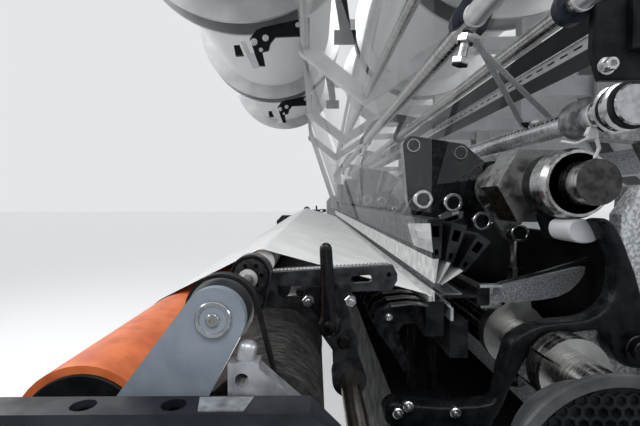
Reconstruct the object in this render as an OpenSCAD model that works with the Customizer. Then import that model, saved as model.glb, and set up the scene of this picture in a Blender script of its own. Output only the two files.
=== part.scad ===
// Warp knitting machine with overhead warp beams.
// X runs along the machine, -Y is the operator's side, Z is up.
// Cross-sections are drawn in [y, z] from the knitting line, where yarn turns into fabric.

/* [Machine] */
// Width of the needle bar
knit_w = 3000; // [2800:10:3400]
// Height of the knitting line above the floor
knit_h = 1020; // [980:5:1080]
// From the last needle to the inner face of an end frame
end_gap = 300; // [290:5:360]
// Thickness of an end frame
frame_t = 26; // [20:1:36]
// Running clearance of a shaft in its bearing
running = 0.1; // [0.06:0.01:0.2]
// Gap between the fabric or belt and the rollers that turn in it
skin_gap = 0.4; // [0.3:0.05:0.8]

/* [Take-up] */
// Radius of the rubber roller
rubber_r = 57.5; // [50:0.5:60]
// Radius of the emery roller
emery_r = 55; // [48:0.5:58]
// Radius of the roller journals
journal_r = 15; // [12:1:20]
// Radius of the spreader roller
spreader_r = 17; // [14:0.5:19]
// Radius of the temple drive shaft
temple_shaft_r = 4.5; // [3.5:0.25:5.5]
// Radius of the take-up belt pulleys
pulley_r = 26; // [20:1:30]
// Thickness of the fabric
fabric_t = 1.4; // [1:0.1:2]
// Radius of the wound batch
batch_r = 150; // [90:5:180]

/* [Temple] */
// Distance of the temple plate beyond the last needle
temple_out = 90; // [80:1:120]
// Thickness of the temple plate
temple_t = 10; // [8:1:12]
// Gear module
gear_m = 1; // [0.9:0.01:1.02]
// Teeth on the drive gear
gear_teeth = 40; // [38:2:40]
// Radius of the clamp lever's hub
lever_r = 13.5; // [12:0.5:15]
// Length of the clamp lever from its pivot
lever_len = 94; // [70:1:100]
// Radius of the rail that the temples slide on
temple_rail_r = 11; // [9:0.5:13]

/* [Guide bars] */
// Radius of the guide-bar rocker shaft
guide_shaft_r = 27.5; // [24:0.5:30]
// Across flats of the faceted shaft clamps
clamp_af = 108; // [100:1:110]
// Height of a guide bar's section
bar_h = 56; // [50:1:58]
// Width of a guide bar's section at the top
bar_top_w = 22; // [18:0.5:24]
// Width of a guide bar's section at the bottom
bar_low_w = 12; // [11:0.5:13]
// Wall of a guide bar
bar_wall = 2.5; // [2:0.25:3]
// Radius of the pins that the guide bars slide on
pin_r = 7; // [6:0.5:8]
// Thickness of a hanger casting
hanger_t = 26; // [20:1:28]
// Number of lead blocks on each bar
leads = 60; // [30:1:60]

/* [Knitting] */
// Radius of the sinker rocker shaft
rocker_r = 24; // [20:0.5:26]
// Height of the needle bar
needle_bar_h = 50; // [44:1:56]
// Radius of the tappet rods
tappet_r = 9; // [7:0.5:10]
// Radius of the main shaft
main_r = 30; // [24:1:36]

/* [Yarn] */
// Radius of a warp beam's flanges
flange_r = 420; // [380:5:425]
// Radius of the yarn on a beam
yarn_r = 345; // [250:5:360]
// Pitch of the beam sections
section_pitch = 1100; // [1080:5:1120]
// Gap between neighbouring flanges
section_gap = 100; // [90:2:110]
// Radius of the yarn rods
yarn_rod_r = 12.5; // [10:0.5:14]
// Radius of the slotted tube
tube_r = 16; // [14:0.5:17]
// Strips of yarn in each warp sheet
strips = 60; // [30:1:60]
// Thickness of a warp sheet
sheet_t = 1.2; // [0.8:0.1:2]

/* [Hidden] */
$fn = 64;
e = 0.01;
tuck = 0.02;
half = knit_w / 2;
frame_x = half + end_gap;
near_x = frame_x + frame_t;
shog_len = 220;
far_x = near_x + shog_len;
foot_r = 45;
foot_x = frame_x + frame_t / 2;
end_x = foot_x + foot_r;
front_y = -430 - flange_r;
rear_y = 1230 + flange_r;

// Centres in the cross-section, [y, z] from the knitting line
temple_axis = [-244, 43];
rubber_axis = [-354, -58];
emery_axis = [-216, -70];
batch_axis = [-400, -690];
rail_axis = [-130, -80];
guide_axis = [165, 151];
rocker_axis = [120, -65];
main_axis = [140, -340];
tube_axis = [170, 232];
rod_a = [11, 338];
rod_b = [133, 357];
rod_front = [-205, 670];
rod_middle = [13, 500];
rod_rear = [290, 680];
front_beam_axis = [-430, 1160];
middle_beam_axis = [490, 1180];
rear_beam_axis = [1230, 540];
link_dx = 90;
flange_t = 14;
bar_centres = [[1, 75], [27, 69], [54, 54]];
bar_tilts = [-3, 15, 35];
pin_axes = [[29, 131], [84, 125], [138, 91]];
lead_ends = [[-0.2, 12], [5, 12], [10, 10]];
upper_bosses = [[113, 222], [21, 236]];
link_axis = [189, 72];

// Places along the machine
neck_x0 = half + 60;
neck_x1 = half + 100;
inner_necks = [-half / 2, 0, half / 2];
neck_t = 60;
hanger_x = [-half * 5 / 6, -half / 3.6, half / 3.6, half * 5 / 6];
stand_x = [-section_pitch * 1.5, -section_pitch / 2, section_pitch / 2, section_pitch * 1.5];
stand_t = 50;
tappet_x = [for (i = [-3.5 : 1 : 3.5]) i * half / 3.85];
lever_x = [-half + 5, -half * 0.6, half * 0.6, half - 25];
bed_top = -200;
bed_low = -470;
bed_front = -40;
wall_front = 240;
bed_back = 330;
wall_top = -20;
pedestal_top = 150;
post_y = 600;
leg_y = rear_beam_axis.x;
foot_h = 30;
floor_z = -knit_h;
fabric_half = half + 5;
point_r = 0.001;
bar_top = -9;

// Functions for tangent paths: an arc has [y, z], a signed radius (turning left is positive)
function heading(a, ra, b, rb) =
    atan2(b.y - a.y, b.x - a.x) - asin((rb - ra) / norm(b - a));
function touch(c, r, u) = c + r * [sin(u), -cos(u)];
function arc_steps(c, r, u0, u1, n) = [for (i = [0 : n]) touch(c, r, u0 + (u1 - u0) * i / n)];
// The turn from heading u to v, to the left or to the right; a degree of slack keeps a straight run straight
function turn_left(u, v) = u + ((v - u + 1) % 360 + 360) % 360 - 1;
function turn_right(u, v) = u - ((u - v + 1) % 360 + 360) % 360 + 1;
// Adds headings to a list of [centre, signed radius]
function route(parts, i, u) = i == len(parts) ? [] : let (
    a = parts[i],
    b = parts[min(i + 1, len(parts) - 1)],
    ahead = i + 1 < len(parts) ? heading(a[0], a[1], b[0], b[1]) : u,
    v = a[1] > 0 ? turn_left(u, ahead) : turn_right(u, ahead)
) concat([[a[0], a[1], u, v]], route(parts, i + 1, v));
function polar(r, a) = [r * cos(a), r * sin(a)];
function last(v) = v[len(v) - 1];

// Faces of a band that follows arcs given as [centre, signed radius, first heading, last heading]
function band_side(path, shift) =
    [for (s = path) each arc_steps(s[0], s[1] + shift, s[2], s[3], max(1, ceil(abs(s[3] - s[2]) / 12)))];
function reversed(v) = [for (i = [len(v) - 1 : -1 : 0]) v[i]];

module machine() {
    translate([(far_x - end_x) / 2, -(front_y + rear_y) / 2, knit_h]) children();
}

// Extrudes a [y, z] profile from x0 to x1
module along(x0, x1) {
    translate([x0, 0, 0]) rotate([90, 0, 90]) linear_extrude(x1 - x0) children();
}

module disc(c, r) { translate(c) circle(r); }

module rod(c, r, x0, x1) { along(x0, x1) disc(c, r); }

// A bar between two round ends of any radii; its corners are tucked just inside the rounds
module limb(p, q, rp, rq) {
    a = atan2(q.y - p.y, q.x - p.x);
    b = acos((rp - rq) / norm(q - p));
    tp = rp - tuck;
    tq = rq - tuck;
    disc(p, rp);
    disc(q, rq);
    polygon([p + polar(tp, a + b), q + polar(tq, a + b), q + polar(tq, a - b), p + polar(tp, a - b)]);
}

// Limbs through a list of [y, z, radius]
module chain(pts) {
    for (i = [0 : len(pts) - 2])
        limb([pts[i].x, pts[i].y], [pts[i + 1].x, pts[i + 1].y], pts[i].z, pts[i + 1].z);
}

module box(y0, z0, y1, z1) { translate([y0, z0]) square([y1 - y0, z1 - z0]); }

module band(path, t) {
    polygon(concat(band_side(path, -t / 2), reversed(band_side(path, t / 2))));
}

module both_ends() {
    children();
    mirror([1, 0, 0]) children();
}

// End frames
frame_low = -knit_h + foot_h;
frame_outline = [
    [-520, frame_low], [-520, -60], [-470, bar_top], [-173, bar_top], [-61, bar_top - 112],
    [-61, -190], [bed_back, -190], [bed_back + 110, -430], [640, -560], [640, frame_low],
    [470, frame_low], [430, frame_low + 90], [-310, frame_low + 90], [-350, frame_low]
];
bar_hole_y = [-327, -266];

module end_frames() {
    color("#2b2d31") machine() both_ends() {
        difference() {
            along(frame_x, near_x) difference() {
                polygon(frame_outline);
                disc(emery_axis, journal_r + running);
                disc(rubber_axis, journal_r + running);
                disc(main_axis, main_r + running);
                box(-180, -860, 150, -530);
                box(200, -860, 420, -560);
            }
            for (y = bar_hole_y) translate([frame_x + frame_t / 2, y, bar_top - 30]) {
                cylinder(r = 4.5, h = 40);
                translate([0, 0, 18]) cylinder(r = 8.5, h = 20);
            }
        }
    }
}

bed_skin = 25;
bed_outline = [
    [bed_front, bed_low], [bed_front, bed_top], [wall_front, bed_top], [wall_front, wall_top],
    [bed_back, wall_top], [bed_back, bed_low]
];
link_hole_r = 20;

module bed() {
    color("#a9adb1") machine() difference() {
        union() {
            along(-frame_x, frame_x) difference() {
                polygon(bed_outline);
                box(bed_front + bed_skin, bed_low + bed_skin, bed_back - bed_skin, bed_top - bed_skin);
            }
            for (x = concat(inner_necks, [neck_x0, -neck_x0]))
                along(x - 55, x + 55) polygon([
                    [wall_front, wall_top], [wall_front + 12, pedestal_top], [bed_back - 25, pedestal_top],
                    [bed_back, wall_top]
                ]);
        }
        for (x = tappet_x, y = [0, tongue_y]) translate([x, y, bed_top - 40])
            cylinder(r = tappet_r + running, h = 60);
        for (x = hanger_x) translate([x + link_dx, link_axis.x, bed_top - 40])
            cylinder(r = link_hole_r, h = 60);
    }
}

// Swan-neck brackets that carry both rocker shafts
neck_top = [166, 94];
neck_hub_r = 38;
neck_boss = [212, -46];

module neck_profile(full) {
    disc(rocker_axis, neck_hub_r);
    chain([
        [132, -48, 26], [180, -24, 12], [194, 6, 15], [199, 40, 18], [neck_top.x, neck_top.y, 18]
    ]);
    limb([194, 6], neck_boss, 15, 24);
    box(neck_boss.x, neck_boss.y - 24, wall_front, neck_boss.y + 24);
    if (full) {
        chain([
            [132, -48, 26], [88, -42, 20], [62, -76, 20], [52, -112, 17], [36, -124, 17], [-72, -122, 16]
        ]);
        box(8, bed_top, 50, -124);
    } else {
        box(96, bed_top, 144, rocker_axis.y);
    }
}

module neck(x0, x1, full) {
    along(x0, x1) difference() {
        neck_profile(full);
        disc(rocker_axis, rocker_r + running);
    }
}

module swan_necks() {
    color("#17181a") machine() both_ends() {
        neck(neck_x0, neck_x1, true);
        along(neck_x1, neck_x1 + 6) {
            disc(neck_boss, 17);
            disc([-72, -122], 10);
        }
    }
}

module inner_brackets() {
    color("#17181a") machine() for (x = inner_necks) neck(x - neck_t / 2, x + neck_t / 2, false);
}

// Bearing rings of the guide shaft, each bolted against its bracket
ring_r = 46;
ring_t = 45;

module guide_ring(x0, lug_end) {
    difference() {
        union() {
            along(x0, x0 + ring_t) disc(guide_axis, ring_r);
            along(x0, lug_end) limb(guide_axis, neck_top, 30, 20);
        }
        rod(guide_axis, guide_shaft_r + running, x0 - 1, lug_end + 1);
    }
}

module guide_bearings() {
    color("#b4b7ba") machine() {
        both_ends() guide_ring(half - 25, neck_x0);
        for (x = inner_necks) guide_ring(x + neck_t / 2, x + neck_t / 2 + ring_t);
    }
}

// Overhead stands
stand_ring_r = 58;
beam_shaft_r = 32;

module stand_profile() {
    difference() {
        union() {
            box(post_y - 35, frame_low, post_y + 35, 1140);
            chain([
                [post_y, 1105, 35], [middle_beam_axis.x, middle_beam_axis.y, stand_ring_r],
                [front_beam_axis.x, front_beam_axis.y, stand_ring_r]
            ]);
            box(post_y, rear_beam_axis.y - 35, leg_y, rear_beam_axis.y + 35);
            disc(rear_beam_axis, stand_ring_r);
            box(leg_y - 30, frame_low, leg_y + 30, rear_beam_axis.y);
            box(post_y - 35, frame_low, leg_y + 30, frame_low + 60);
            chain([
                [post_y, rod_rear.y + 10, 22], [rod_rear.x, rod_rear.y, 24],
                [rod_middle.x, rod_middle.y, 24], [rod_front.x, rod_front.y, 24]
            ]);
            box(hook_rail_y + 10, 380, post_y, 420);
            box(bed_back, -340, post_y, -290);
        }
        for (c = [front_beam_axis, middle_beam_axis, rear_beam_axis]) disc(c, beam_shaft_r + running);
        for (c = [rod_rear, rod_middle, rod_front]) disc(c, yarn_rod_r + running);
    }
}

module beam_stands() {
    color("#c3c6c8") machine() for (x = stand_x) along(x - stand_t / 2, x + stand_t / 2) stand_profile();
}

module tie_rails() {
    color("#8d9196") machine() for (i = [0 : len(stand_x) - 2], c = [[post_y, 220], [post_y, -850], [leg_y, -850]])
        along(stand_x[i] + stand_t / 2, stand_x[i + 1] - stand_t / 2) difference() {
            box(c.x - 30, c.y - 30, c.x + 30, c.y + 30);
            box(c.x - 24, c.y - 24, c.x + 24, c.y + 24);
        }
}

module foot(x, y) {
    translate([x, y, floor_z]) {
        cylinder(r = foot_r, h = 12);
        cylinder(r = 14, h = foot_h);
    }
}

module feet() {
    color("#3a3c40") machine() {
        both_ends() for (y = [-435, 555]) foot(foot_x, y);
        for (x = stand_x, y = [post_y, leg_y]) foot(x, y);
    }
}

// Arms of the spreader roller: painted plate, foot boss, bearing ring and screw
arm_x0 = frame_x - 20;
arm_t = 10;
arm_head_r = 23;
arm_foot = [-303, -50];

module spreader_arms() {
    color("#9aa7b5") machine() both_ends() {
        along(arm_x0, arm_x0 + arm_t) difference() {
            limb(temple_axis, arm_foot, arm_head_r, 32);
            disc(temple_axis, temple_shaft_r + running);
        }
        along(arm_x0 + arm_t, frame_x) disc(arm_foot, 22);
        along(arm_x0 + arm_t, arm_x0 + arm_t + 3) difference() {
            disc(temple_axis, 13);
            disc(temple_axis, temple_shaft_r + 1);
        }
    }
}

module end_brackets() {
    color("#c9ccd0") machine() both_ends() {
        along(frame_x - 16, frame_x) difference() {
            union() {
                box(-232, -10, -210, 14);
                polygon([[-212, 12], [-165, -30], [-165, -62], [-212, -10]]);
            }
            disc([-222, 2], 5);
        }
    }
}

// Guard of the shaft end: a cowl with a grille of six-sided holes
guard_axis = [51, -80];
guard_r = 84;
guard_x0 = frame_x - 55;
guard_x1 = frame_x - 4;
grille_pitch = 13;

module grille() {
    rows = floor(guard_r / grille_pitch);
    for (i = [-rows : rows], j = [-rows : rows]) {
        p = grille_pitch * [i + (j % 2) / 2, j * sqrt(3) / 2];
        if (norm(p) < guard_r - 16) translate(guard_axis + p) rotate(30) circle(r = grille_pitch * 0.42, $fn = 6);
    }
}

module shaft_guard() {
    color("#26282b") machine() both_ends() {
        along(guard_x0, guard_x1) difference() {
            disc(guard_axis, guard_r);
            disc(guard_axis, guard_r - 3);
        }
        along(guard_x1, guard_x1 + 4) difference() {
            disc(guard_axis, guard_r);
            grille();
        }
        along(guard_x0, frame_x) box(guard_axis.x - 30, bed_top, guard_axis.x + 30, guard_axis.y - guard_r + 1);
    }
}

module temple_rail() { color("#8a7f76") machine() rod(rail_axis, temple_rail_r, -frame_x, frame_x); }

// Pattern drive at the far end: housing, covers and three plungers that face the bars
module shog_drive() {
    color("#b9bdc0") machine() mirror([1, 0, 0]) {
        along(near_x, far_x) difference() {
            polygon([
                [-60, -196], [-60, 120], [-20, 170], [180, 170], [220, 120], [220, -196]
            ]);
            box(-50, -170, 210, 110);
        }
        along(near_x, near_x + 20) box(-50 - e, -170 - e, 210 + e, 110 + e);
        along(far_x - 22, far_x) box(-49.7, -169.7, 209.7, 109.7);
        along(neck_x1 + 60, near_x + e) for (c = bar_centres) disc(c, 8);
    }
}

// Main motor on a bracket at the far end of the bed, in line with the main shaft
motor_r = 110;

module main_motor() {
    color("#5c6670") machine() mirror([1, 0, 0]) {
        along(near_x, near_x + 18) difference() {
            disc(main_axis, motor_r + 30);
            for (a = [45 : 90 : 315]) disc(main_axis + polar(motor_r + 15, a), 6);
        }
        along(near_x + 18, near_x + 175) difference() {
            disc(main_axis, motor_r);
            for (a = [0 : 15 : 345]) translate(main_axis) rotate(a) translate([motor_r - 5, -4]) square([10, 8]);
        }
        along(near_x + 175, far_x - 10) disc(main_axis, motor_r - 12);
    }
}

module let_off_motors() {
    color("#6c7278") machine() mirror([1, 0, 0]) for (c = [front_beam_axis, middle_beam_axis, rear_beam_axis]) {
        x0 = last(stand_x) + stand_t / 2;
        along(x0, x0 + 90) difference() {
            box(c.x - 70, c.y - 90, c.x + 70, c.y + 70);
            disc(c, beam_shaft_r + 6);
        }
        along(x0 + 90, x0 + 210) disc([c.x, c.y - 30], 50);
    }
}

module batch_arms() {
    color("#70757a") machine() both_ends() along(frame_x - 30, frame_x) difference() {
        limb(batch_axis, batch_axis - [0, 90], 55, 40);
        disc(batch_axis, journal_r * 2 + running);
    }
}

// Yarn rods in the stands, tension rods in the hooks
module yarn_rods() {
    color("#d8dadc") machine() for (c = [rod_front, rod_middle, rod_rear])
        rod(c, yarn_rod_r, -last(stand_x) - stand_t / 2 - 8, last(stand_x) + stand_t / 2 + 8);
}

module tension_rods() {
    color("#d8dadc") machine() for (c = [rod_a, rod_b]) rod(c, yarn_rod_r, -neck_x1 - 20, neck_x1 + 20);
}

hook_x = [-neck_x1 + 10, -section_pitch / 2, section_pitch / 2, neck_x1 - 10];
hook_t = 14;
hook_rail_y = 262;
hook_rail_z = 380;

module rod_hooks() {
    color("#1c2230") machine() for (x = hook_x) along(x - hook_t / 2, x + hook_t / 2) difference() {
        union() {
            chain([
                [rod_a.x, rod_a.y, 21], [44, 400, 15], [104, 428, 14], [170, 418, 14],
                [hook_rail_y - 14, hook_rail_z + 20, 14]
            ]);
            limb(rod_b, [150, 420], 20, 12);
        }
        disc(rod_a, yarn_rod_r + running);
        disc(rod_b, yarn_rod_r + running);
        polygon([[-20, 300], [-20, 326], [11, 338], [30, 326], [30, 300]]);
        box(hook_rail_y, 300, hook_rail_y + 60, 500);
    }
}

module hook_rail() {
    color("#2a2d33") machine() along(-last(stand_x) - stand_t / 2, last(stand_x) + stand_t / 2)
        polygon([
            [hook_rail_y, hook_rail_z - 10], [hook_rail_y, hook_rail_z + 50], [hook_rail_y + 10, hook_rail_z + 50],
            [hook_rail_y + 10, hook_rail_z], [hook_rail_y + 60, hook_rail_z], [hook_rail_y + 60, hook_rail_z - 10]
        ]);
}

// Slotted tube with a row of slots along its front, and ribbed end collars
slot_pitch = 24;
tube_end = neck_x1;
slot_rows = floor(tube_end * 2 / slot_pitch / 2) - 3;

module slotted_tube() {
    color("#c6c9cc") machine() {
        difference() {
            along(-tube_end, tube_end) difference() {
                disc(tube_axis, tube_r);
                disc(tube_axis, tube_r - 2.5);
            }
            for (i = [-slot_rows : slot_rows]) translate([i * slot_pitch, tube_axis.x, tube_axis.y])
                rotate([60, 0, 0]) translate([-7, -2, tube_r - 6]) cube([14, 4, 12]);
        }
        both_ends() along(tube_end, tube_end + 50) disc(tube_axis, tube_r + 4);
        both_ends() for (i = [0 : 3]) along(tube_end + 6 + i * 12, tube_end + 12 + i * 12)
            difference() { disc(tube_axis, tube_r + 11); disc(tube_axis, tube_r + 4 - e); }
    }
}

module tube_brackets() {
    color("#aeb2b5") machine() for (x = concat(inner_necks, [neck_x0, -neck_x0]))
        along(x - 14, x + 14) difference() {
            union() {
                chain([[tube_axis.x, tube_axis.y, tube_r + 9], [250, 215, 13], [275, pedestal_top + 18, 13]]);
                box(wall_front + 16, pedestal_top, bed_back - 32, pedestal_top + 18);
            }
            disc(tube_axis, tube_r + running);
        }
}

// Two elastic bands stretched from a hook down to the slotted tube
module elastic_bands() {
    color("#8f9296") machine() for (k = [0, 1]) hull() {
        translate([hook_x[3] - hook_t / 2 - 7 - 8 * k, rod_a.x + 12, rod_a.y - yarn_rod_r - 3]) cube([5, 6, 2]);
        translate([hook_x[3] - 181 + 76 * k, tube_axis.x - 8, tube_axis.y + tube_r + 0.5]) cube([5, 6, 2]);
    }
}

// Warp sheets: strips of yarn that leave a beam, bend over the rods and end at the guide leads
over_rod = yarn_rod_r + skin_gap + sheet_t / 2;
over_beam = yarn_r + skin_gap + sheet_t / 2;

// Yarn leaves a gap where a flange, a stand or a hanger stands in its way: [place, half width] each
stand_gaps = [for (x = stand_x) [x, section_gap / 2 + flange_t]];
hanger_gaps = [for (x = hanger_x) [x, hanger_t / 2 + 9]];

module sheet(parts, gaps) {
    start = heading(parts[0][0], parts[0][1], parts[1][0], parts[1][1]);
    path = route(parts, 0, start - 4 * sign(parts[0][1]));
    pitch = (knit_w - 20) / strips;
    for (i = [0 : strips - 1]) {
        x = -half + 10 + i * pitch;
        if (min([for (g = gaps) abs(x + pitch / 2 - g[0]) - g[1]]) > pitch * 0.3 + 1)
            along(x + pitch * 0.2, x + pitch * 0.8) band(path, sheet_t);
    }
}

module front_sheet() {
    color("white") machine() sheet([[front_beam_axis, -over_beam], [rod_front, over_rod], [[-14, 60], point_r]], stand_gaps);
}

module middle_sheet() {
    color("white") machine()
        sheet([
            [middle_beam_axis, over_beam], [rod_middle, over_rod], [rod_a, over_rod], [[-3, 112], point_r]
        ], stand_gaps);
}

module rear_sheet() {
    color("white") machine()
        sheet([
            [rear_beam_axis, over_beam], [rod_rear, over_rod], [rod_b, over_rod], [[66, 160], point_r]
        ], concat(stand_gaps, hanger_gaps));
}

// Brake arms that rest by the front beam's flanges
module brake_arms() {
    color("#202225") machine() for (x = [-section_pitch / 2, section_pitch / 2])
        along(x - stand_t / 2 - 12, x - stand_t / 2) {
            limb(front_beam_axis + [310, 0], front_beam_axis + [370, -400], 26, 20);
            translate(front_beam_axis) box(330, -460, 410, -410);
        }
}

// Guide-bar rocker
module guide_shaft() { color("#d0d2d4") machine() rod(guide_axis, guide_shaft_r, -neck_x1, neck_x1); }

module shaft_clamps() {
    color("#a8aaac") machine() for (x = hanger_x) {
        along(x + hanger_t / 2 + 1, x + hanger_t / 2 + 40) difference() {
            disc(guide_axis, 52);
            disc(guide_axis, guide_shaft_r + running);
        }
        along(x + hanger_t / 2 + 80, x + hanger_t / 2 + 132) difference() {
            disc(guide_axis, 47);
            disc(guide_axis, guide_shaft_r + running);
        }
        along(x + hanger_t / 2 + 136, x + hanger_t / 2 + 201) difference() {
            translate(guide_axis) circle(d = clamp_af / cos(30), $fn = 6);
            disc(guide_axis, guide_shaft_r + running);
        }
    }
}

boss_r = 19;

module hangers() {
    color("#9fa2a5") machine() for (x = hanger_x) {
        along(x - hanger_t / 2, x + hanger_t / 2) difference() {
            union() {
                chain([
                    [guide_axis.x, guide_axis.y, 40], [upper_bosses[0].x, upper_bosses[0].y, boss_r],
                    [upper_bosses[1].x, upper_bosses[1].y, boss_r], [pin_axes[0].x, pin_axes[0].y, boss_r - 2],
                    [pin_axes[1].x, pin_axes[1].y, boss_r - 2], [guide_axis.x, guide_axis.y, 42]
                ]);
                limb(guide_axis, pin_axes[2], 42, boss_r - 2);
                polygon([guide_axis, upper_bosses[0], upper_bosses[1], pin_axes[0], pin_axes[1]]);
            }
            disc(guide_axis, guide_shaft_r + running);
        }
        for (c = pin_axes) along(x - hanger_t / 2 - 54, x + hanger_t / 2 + 54) disc(c, pin_r);
        along(x + link_dx - 26, x + link_dx - 10) difference() {
            limb(guide_axis, link_axis, 40, 17);
            disc(guide_axis, guide_shaft_r + running);
        }
        along(x + link_dx - 26, x + link_dx + 14) disc(link_axis, pin_r);
        for (c = upper_bosses) along(x + hanger_t / 2, x + hanger_t / 2 + 8) difference() {
            disc(c, boss_r - 3);
            translate(c) circle(r = 7, $fn = 6);
        }
    }
}

// Links from the rocker down to the eccentrics in the bed
link_low = -228;

module drive_links() {
    color("#b2b5b8") machine() for (x = hanger_x) {
        difference() {
            along(x + link_dx - 8, x + link_dx + 8) disc(link_axis, 15);
            along(x + link_dx - 9, x + link_dx + 9) disc(link_axis, pin_r + running);
        }
        translate([x + link_dx, link_axis.x, link_low]) cylinder(r = 8, h = link_axis.y - link_low - 14);
        translate([x + link_dx, link_axis.x, -30]) cylinder(r = 12, h = 40);
    }
}

// A guide bar: hollow tapered section, lugs that slide on the hanger pins, and lead blocks
lug_t = 16;
lug_gap = 16;

module bar_section(grow) {
    polygon([
        [-bar_low_w / 2 + grow, -bar_h / 2 + grow * 1.4], [-bar_top_w / 2 + grow, bar_h / 2 - grow * 1.4],
        [bar_top_w / 2 - grow, bar_h / 2 - grow * 1.4], [bar_low_w / 2 - grow, -bar_h / 2 + grow * 1.4]
    ]);
}

module guide_bar(k) {
    c = bar_centres[k];
    tilt = -bar_tilts[k];
    top = c + polar(bar_h / 2 - 8, 90 + tilt);
    low = c - polar(bar_h / 2, 90 + tilt);
    across = polar(1, tilt);
    along(-half, half) difference() {
        translate(c) rotate(tilt) bar_section(0);
        translate(c) rotate(tilt) bar_section(bar_wall);
    }
    for (x = [-half, half - bar_wall]) along(x, x + bar_wall) difference() {
        translate(c) rotate(tilt) bar_section(0);
        translate(c) rotate(tilt) translate([-5.2, 2.5]) square([10.4, 16]);
        translate(c) rotate(tilt) translate([-2.5, -23]) square([5, 8]);
    }
    for (x = hanger_x, s = [-1, 1]) {
        x0 = x + s * (hanger_t / 2 + lug_gap + lug_t / 2) - lug_t / 2;
        along(x0, x0 + lug_t) difference() {
            limb(top + polar(4, 90 + tilt), pin_axes[k], 7, pin_r + 5);
            disc(pin_axes[k], pin_r + running);
            translate(c) rotate(tilt) bar_section(bar_wall);
        }
    }
    pitch = knit_w / leads;
    for (i = [0 : leads - 1]) {
        x = -half + i * pitch + 0.6;
        along(x, x + pitch - 1.2) polygon([low - 3 * across, lead_ends[k] - [0.8, 0], lead_ends[k] + [0.8, 0],
            low + 3 * across, low + 2 * across + polar(1, 90 + tilt), low - 2 * across + polar(1, 90 + tilt)]);
    }
    mirror([1, 0, 0]) along(half - e, neck_x1 + 40) disc(c, 7.5);
}

module front_bar() { color("#26272a") machine() guide_bar(0); }

module middle_bar() { color("#26272a") machine() guide_bar(1); }

module rear_bar() { color("#26272a") machine() guide_bar(2); }

// Needle bar and tongue bar, each on tappet rods that run in the bed
needle_low = -14;
tongue_y = 36;

module lead_row(y0, y1, z0, z1) {
    pitch = knit_w / leads;
    for (i = [0 : leads - 1])
        along(-half + i * pitch + 0.6, -half + (i + 1) * pitch - 0.6) box(y0, z0, y1, z1);
}

module needle_bar() {
    color("#3c3f43") machine() {
        along(-half, half) box(-13, needle_low - needle_bar_h, 13, needle_low);
        lead_row(-9, -4, needle_low - e, -6);
        lead_row(-3, 0, needle_low - e, 0);
        for (x = tappet_x) translate([x, 0, bed_top - 60])
            cylinder(r = tappet_r, h = needle_low - needle_bar_h - bed_top + 60 + e);
    }
}

module tongue_bar() {
    color("#55585c") machine() {
        along(-half, half) polygon([[22, -95], [22, -42], [48, -42], [48, -95]]);
        lead_row(23, 27, -42 - e, -24);
        for (x = tappet_x) translate([x, tongue_y, bed_top - 60])
            cylinder(r = tappet_r, h = 165 + e);
    }
}

// Sinker rocker: shaft, split collars, fin levers and the sinker bar
collar_r = 41;

module rocker_shaft() {
    color("#cfd1d3") machine() {
        rod(rocker_axis, rocker_r, -neck_x1 - 90, neck_x1 + 90);
        both_ends() along(neck_x1 + 4, neck_x1 + 34) difference() {
            disc(rocker_axis, collar_r);
            disc(rocker_axis, rocker_r - e);
            translate(rocker_axis) rotate(150) translate([rocker_r - 2, -1.5]) square([30, 3]);
        }
    }
}

fin = [
    [78, -16], [104, -18], [134, -17], [160, -14], [181, -10], [198, -2], [211, 10], [219, 23],
    [221, 33], [208, 32], [140, 16], [78, 2]
];
fin_hub_r = 46;
lever_t = 20;

module fin_levers() {
    color("#a6aaae") machine() for (x = lever_x) along(x - lever_t / 2 + 5, x + lever_t / 2 + 5) difference() {
        union() {
            disc(rocker_axis, fin_hub_r);
            limb(rocker_axis, [126, -2], fin_hub_r - 14, 12);
            polygon(fin);
            box(78, -19, 100, 6);
        }
        disc(rocker_axis, rocker_r + running);
    }
}

module sinker_bar() {
    color("#2b2e33") machine() {
        along(-half, half) box(60, -19, 77.9, 5);
        lead_row(14, 60 + e, -9, -5);
    }
}

module main_shaft() {
    color("#b5b8ba") machine() {
        rod(main_axis, main_r, -near_x + 2, near_x - 2);
        for (x = tappet_x) rod(main_axis + [6, 0], 58, x - 12, x + 12);
    }
}

// Fabric: one band from the knitting line over the spreader, round both rollers and down to the batch
fabric_over = skin_gap + fabric_t / 2;
spreader_arc = spreader_r + fabric_over;
rubber_arc = rubber_r + fabric_over;
emery_arc = -(emery_r + fabric_over);
batch_arc = -(batch_r + fabric_over);
fabric_start = [-14, -2];
fabric_route = [
    [fabric_start, point_r], [temple_axis, spreader_arc], [rubber_axis, rubber_arc],
    [emery_axis, emery_arc], [batch_axis, batch_arc]
];

module fabric() {
    color("#f4f4f2") machine() along(-fabric_half, fabric_half) band(
        route(fabric_route, 0, heading(fabric_start, point_r, temple_axis, spreader_arc)), fabric_t);
}

module spreader_roller() {
    color("#e9e9e6") machine() along(-half, half) difference() {
        disc(temple_axis, spreader_r);
        disc(temple_axis, temple_shaft_r + running);
    }
}

module temple_shaft() {
    color("#c9cbce") machine() {
        rod(temple_axis, temple_shaft_r, -arm_x0 - arm_t - 4, arm_x0 + arm_t + 4);
        both_ends() along(arm_x0 - 28, arm_x0 - 14) difference() {
            disc(temple_axis, pulley_r);
            disc(temple_axis, temple_shaft_r - e);
        }
    }
}

belt_t = 2.4;

module take_up_belts() {
    color("#16171a") machine() both_ends() along(arm_x0 - 27, arm_x0 - 15) difference() {
        limb(temple_axis, emery_axis, pulley_r + skin_gap + belt_t, pulley_r + skin_gap + belt_t);
        limb(temple_axis, emery_axis, pulley_r + skin_gap, pulley_r + skin_gap);
    }
}

module rubber_roller() {
    color("#e0673a") machine() {
        rod(rubber_axis, rubber_r, -frame_x + 35, frame_x - 35);
        rod(rubber_axis, journal_r, -near_x + 4, near_x - 4);
    }
}

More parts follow.
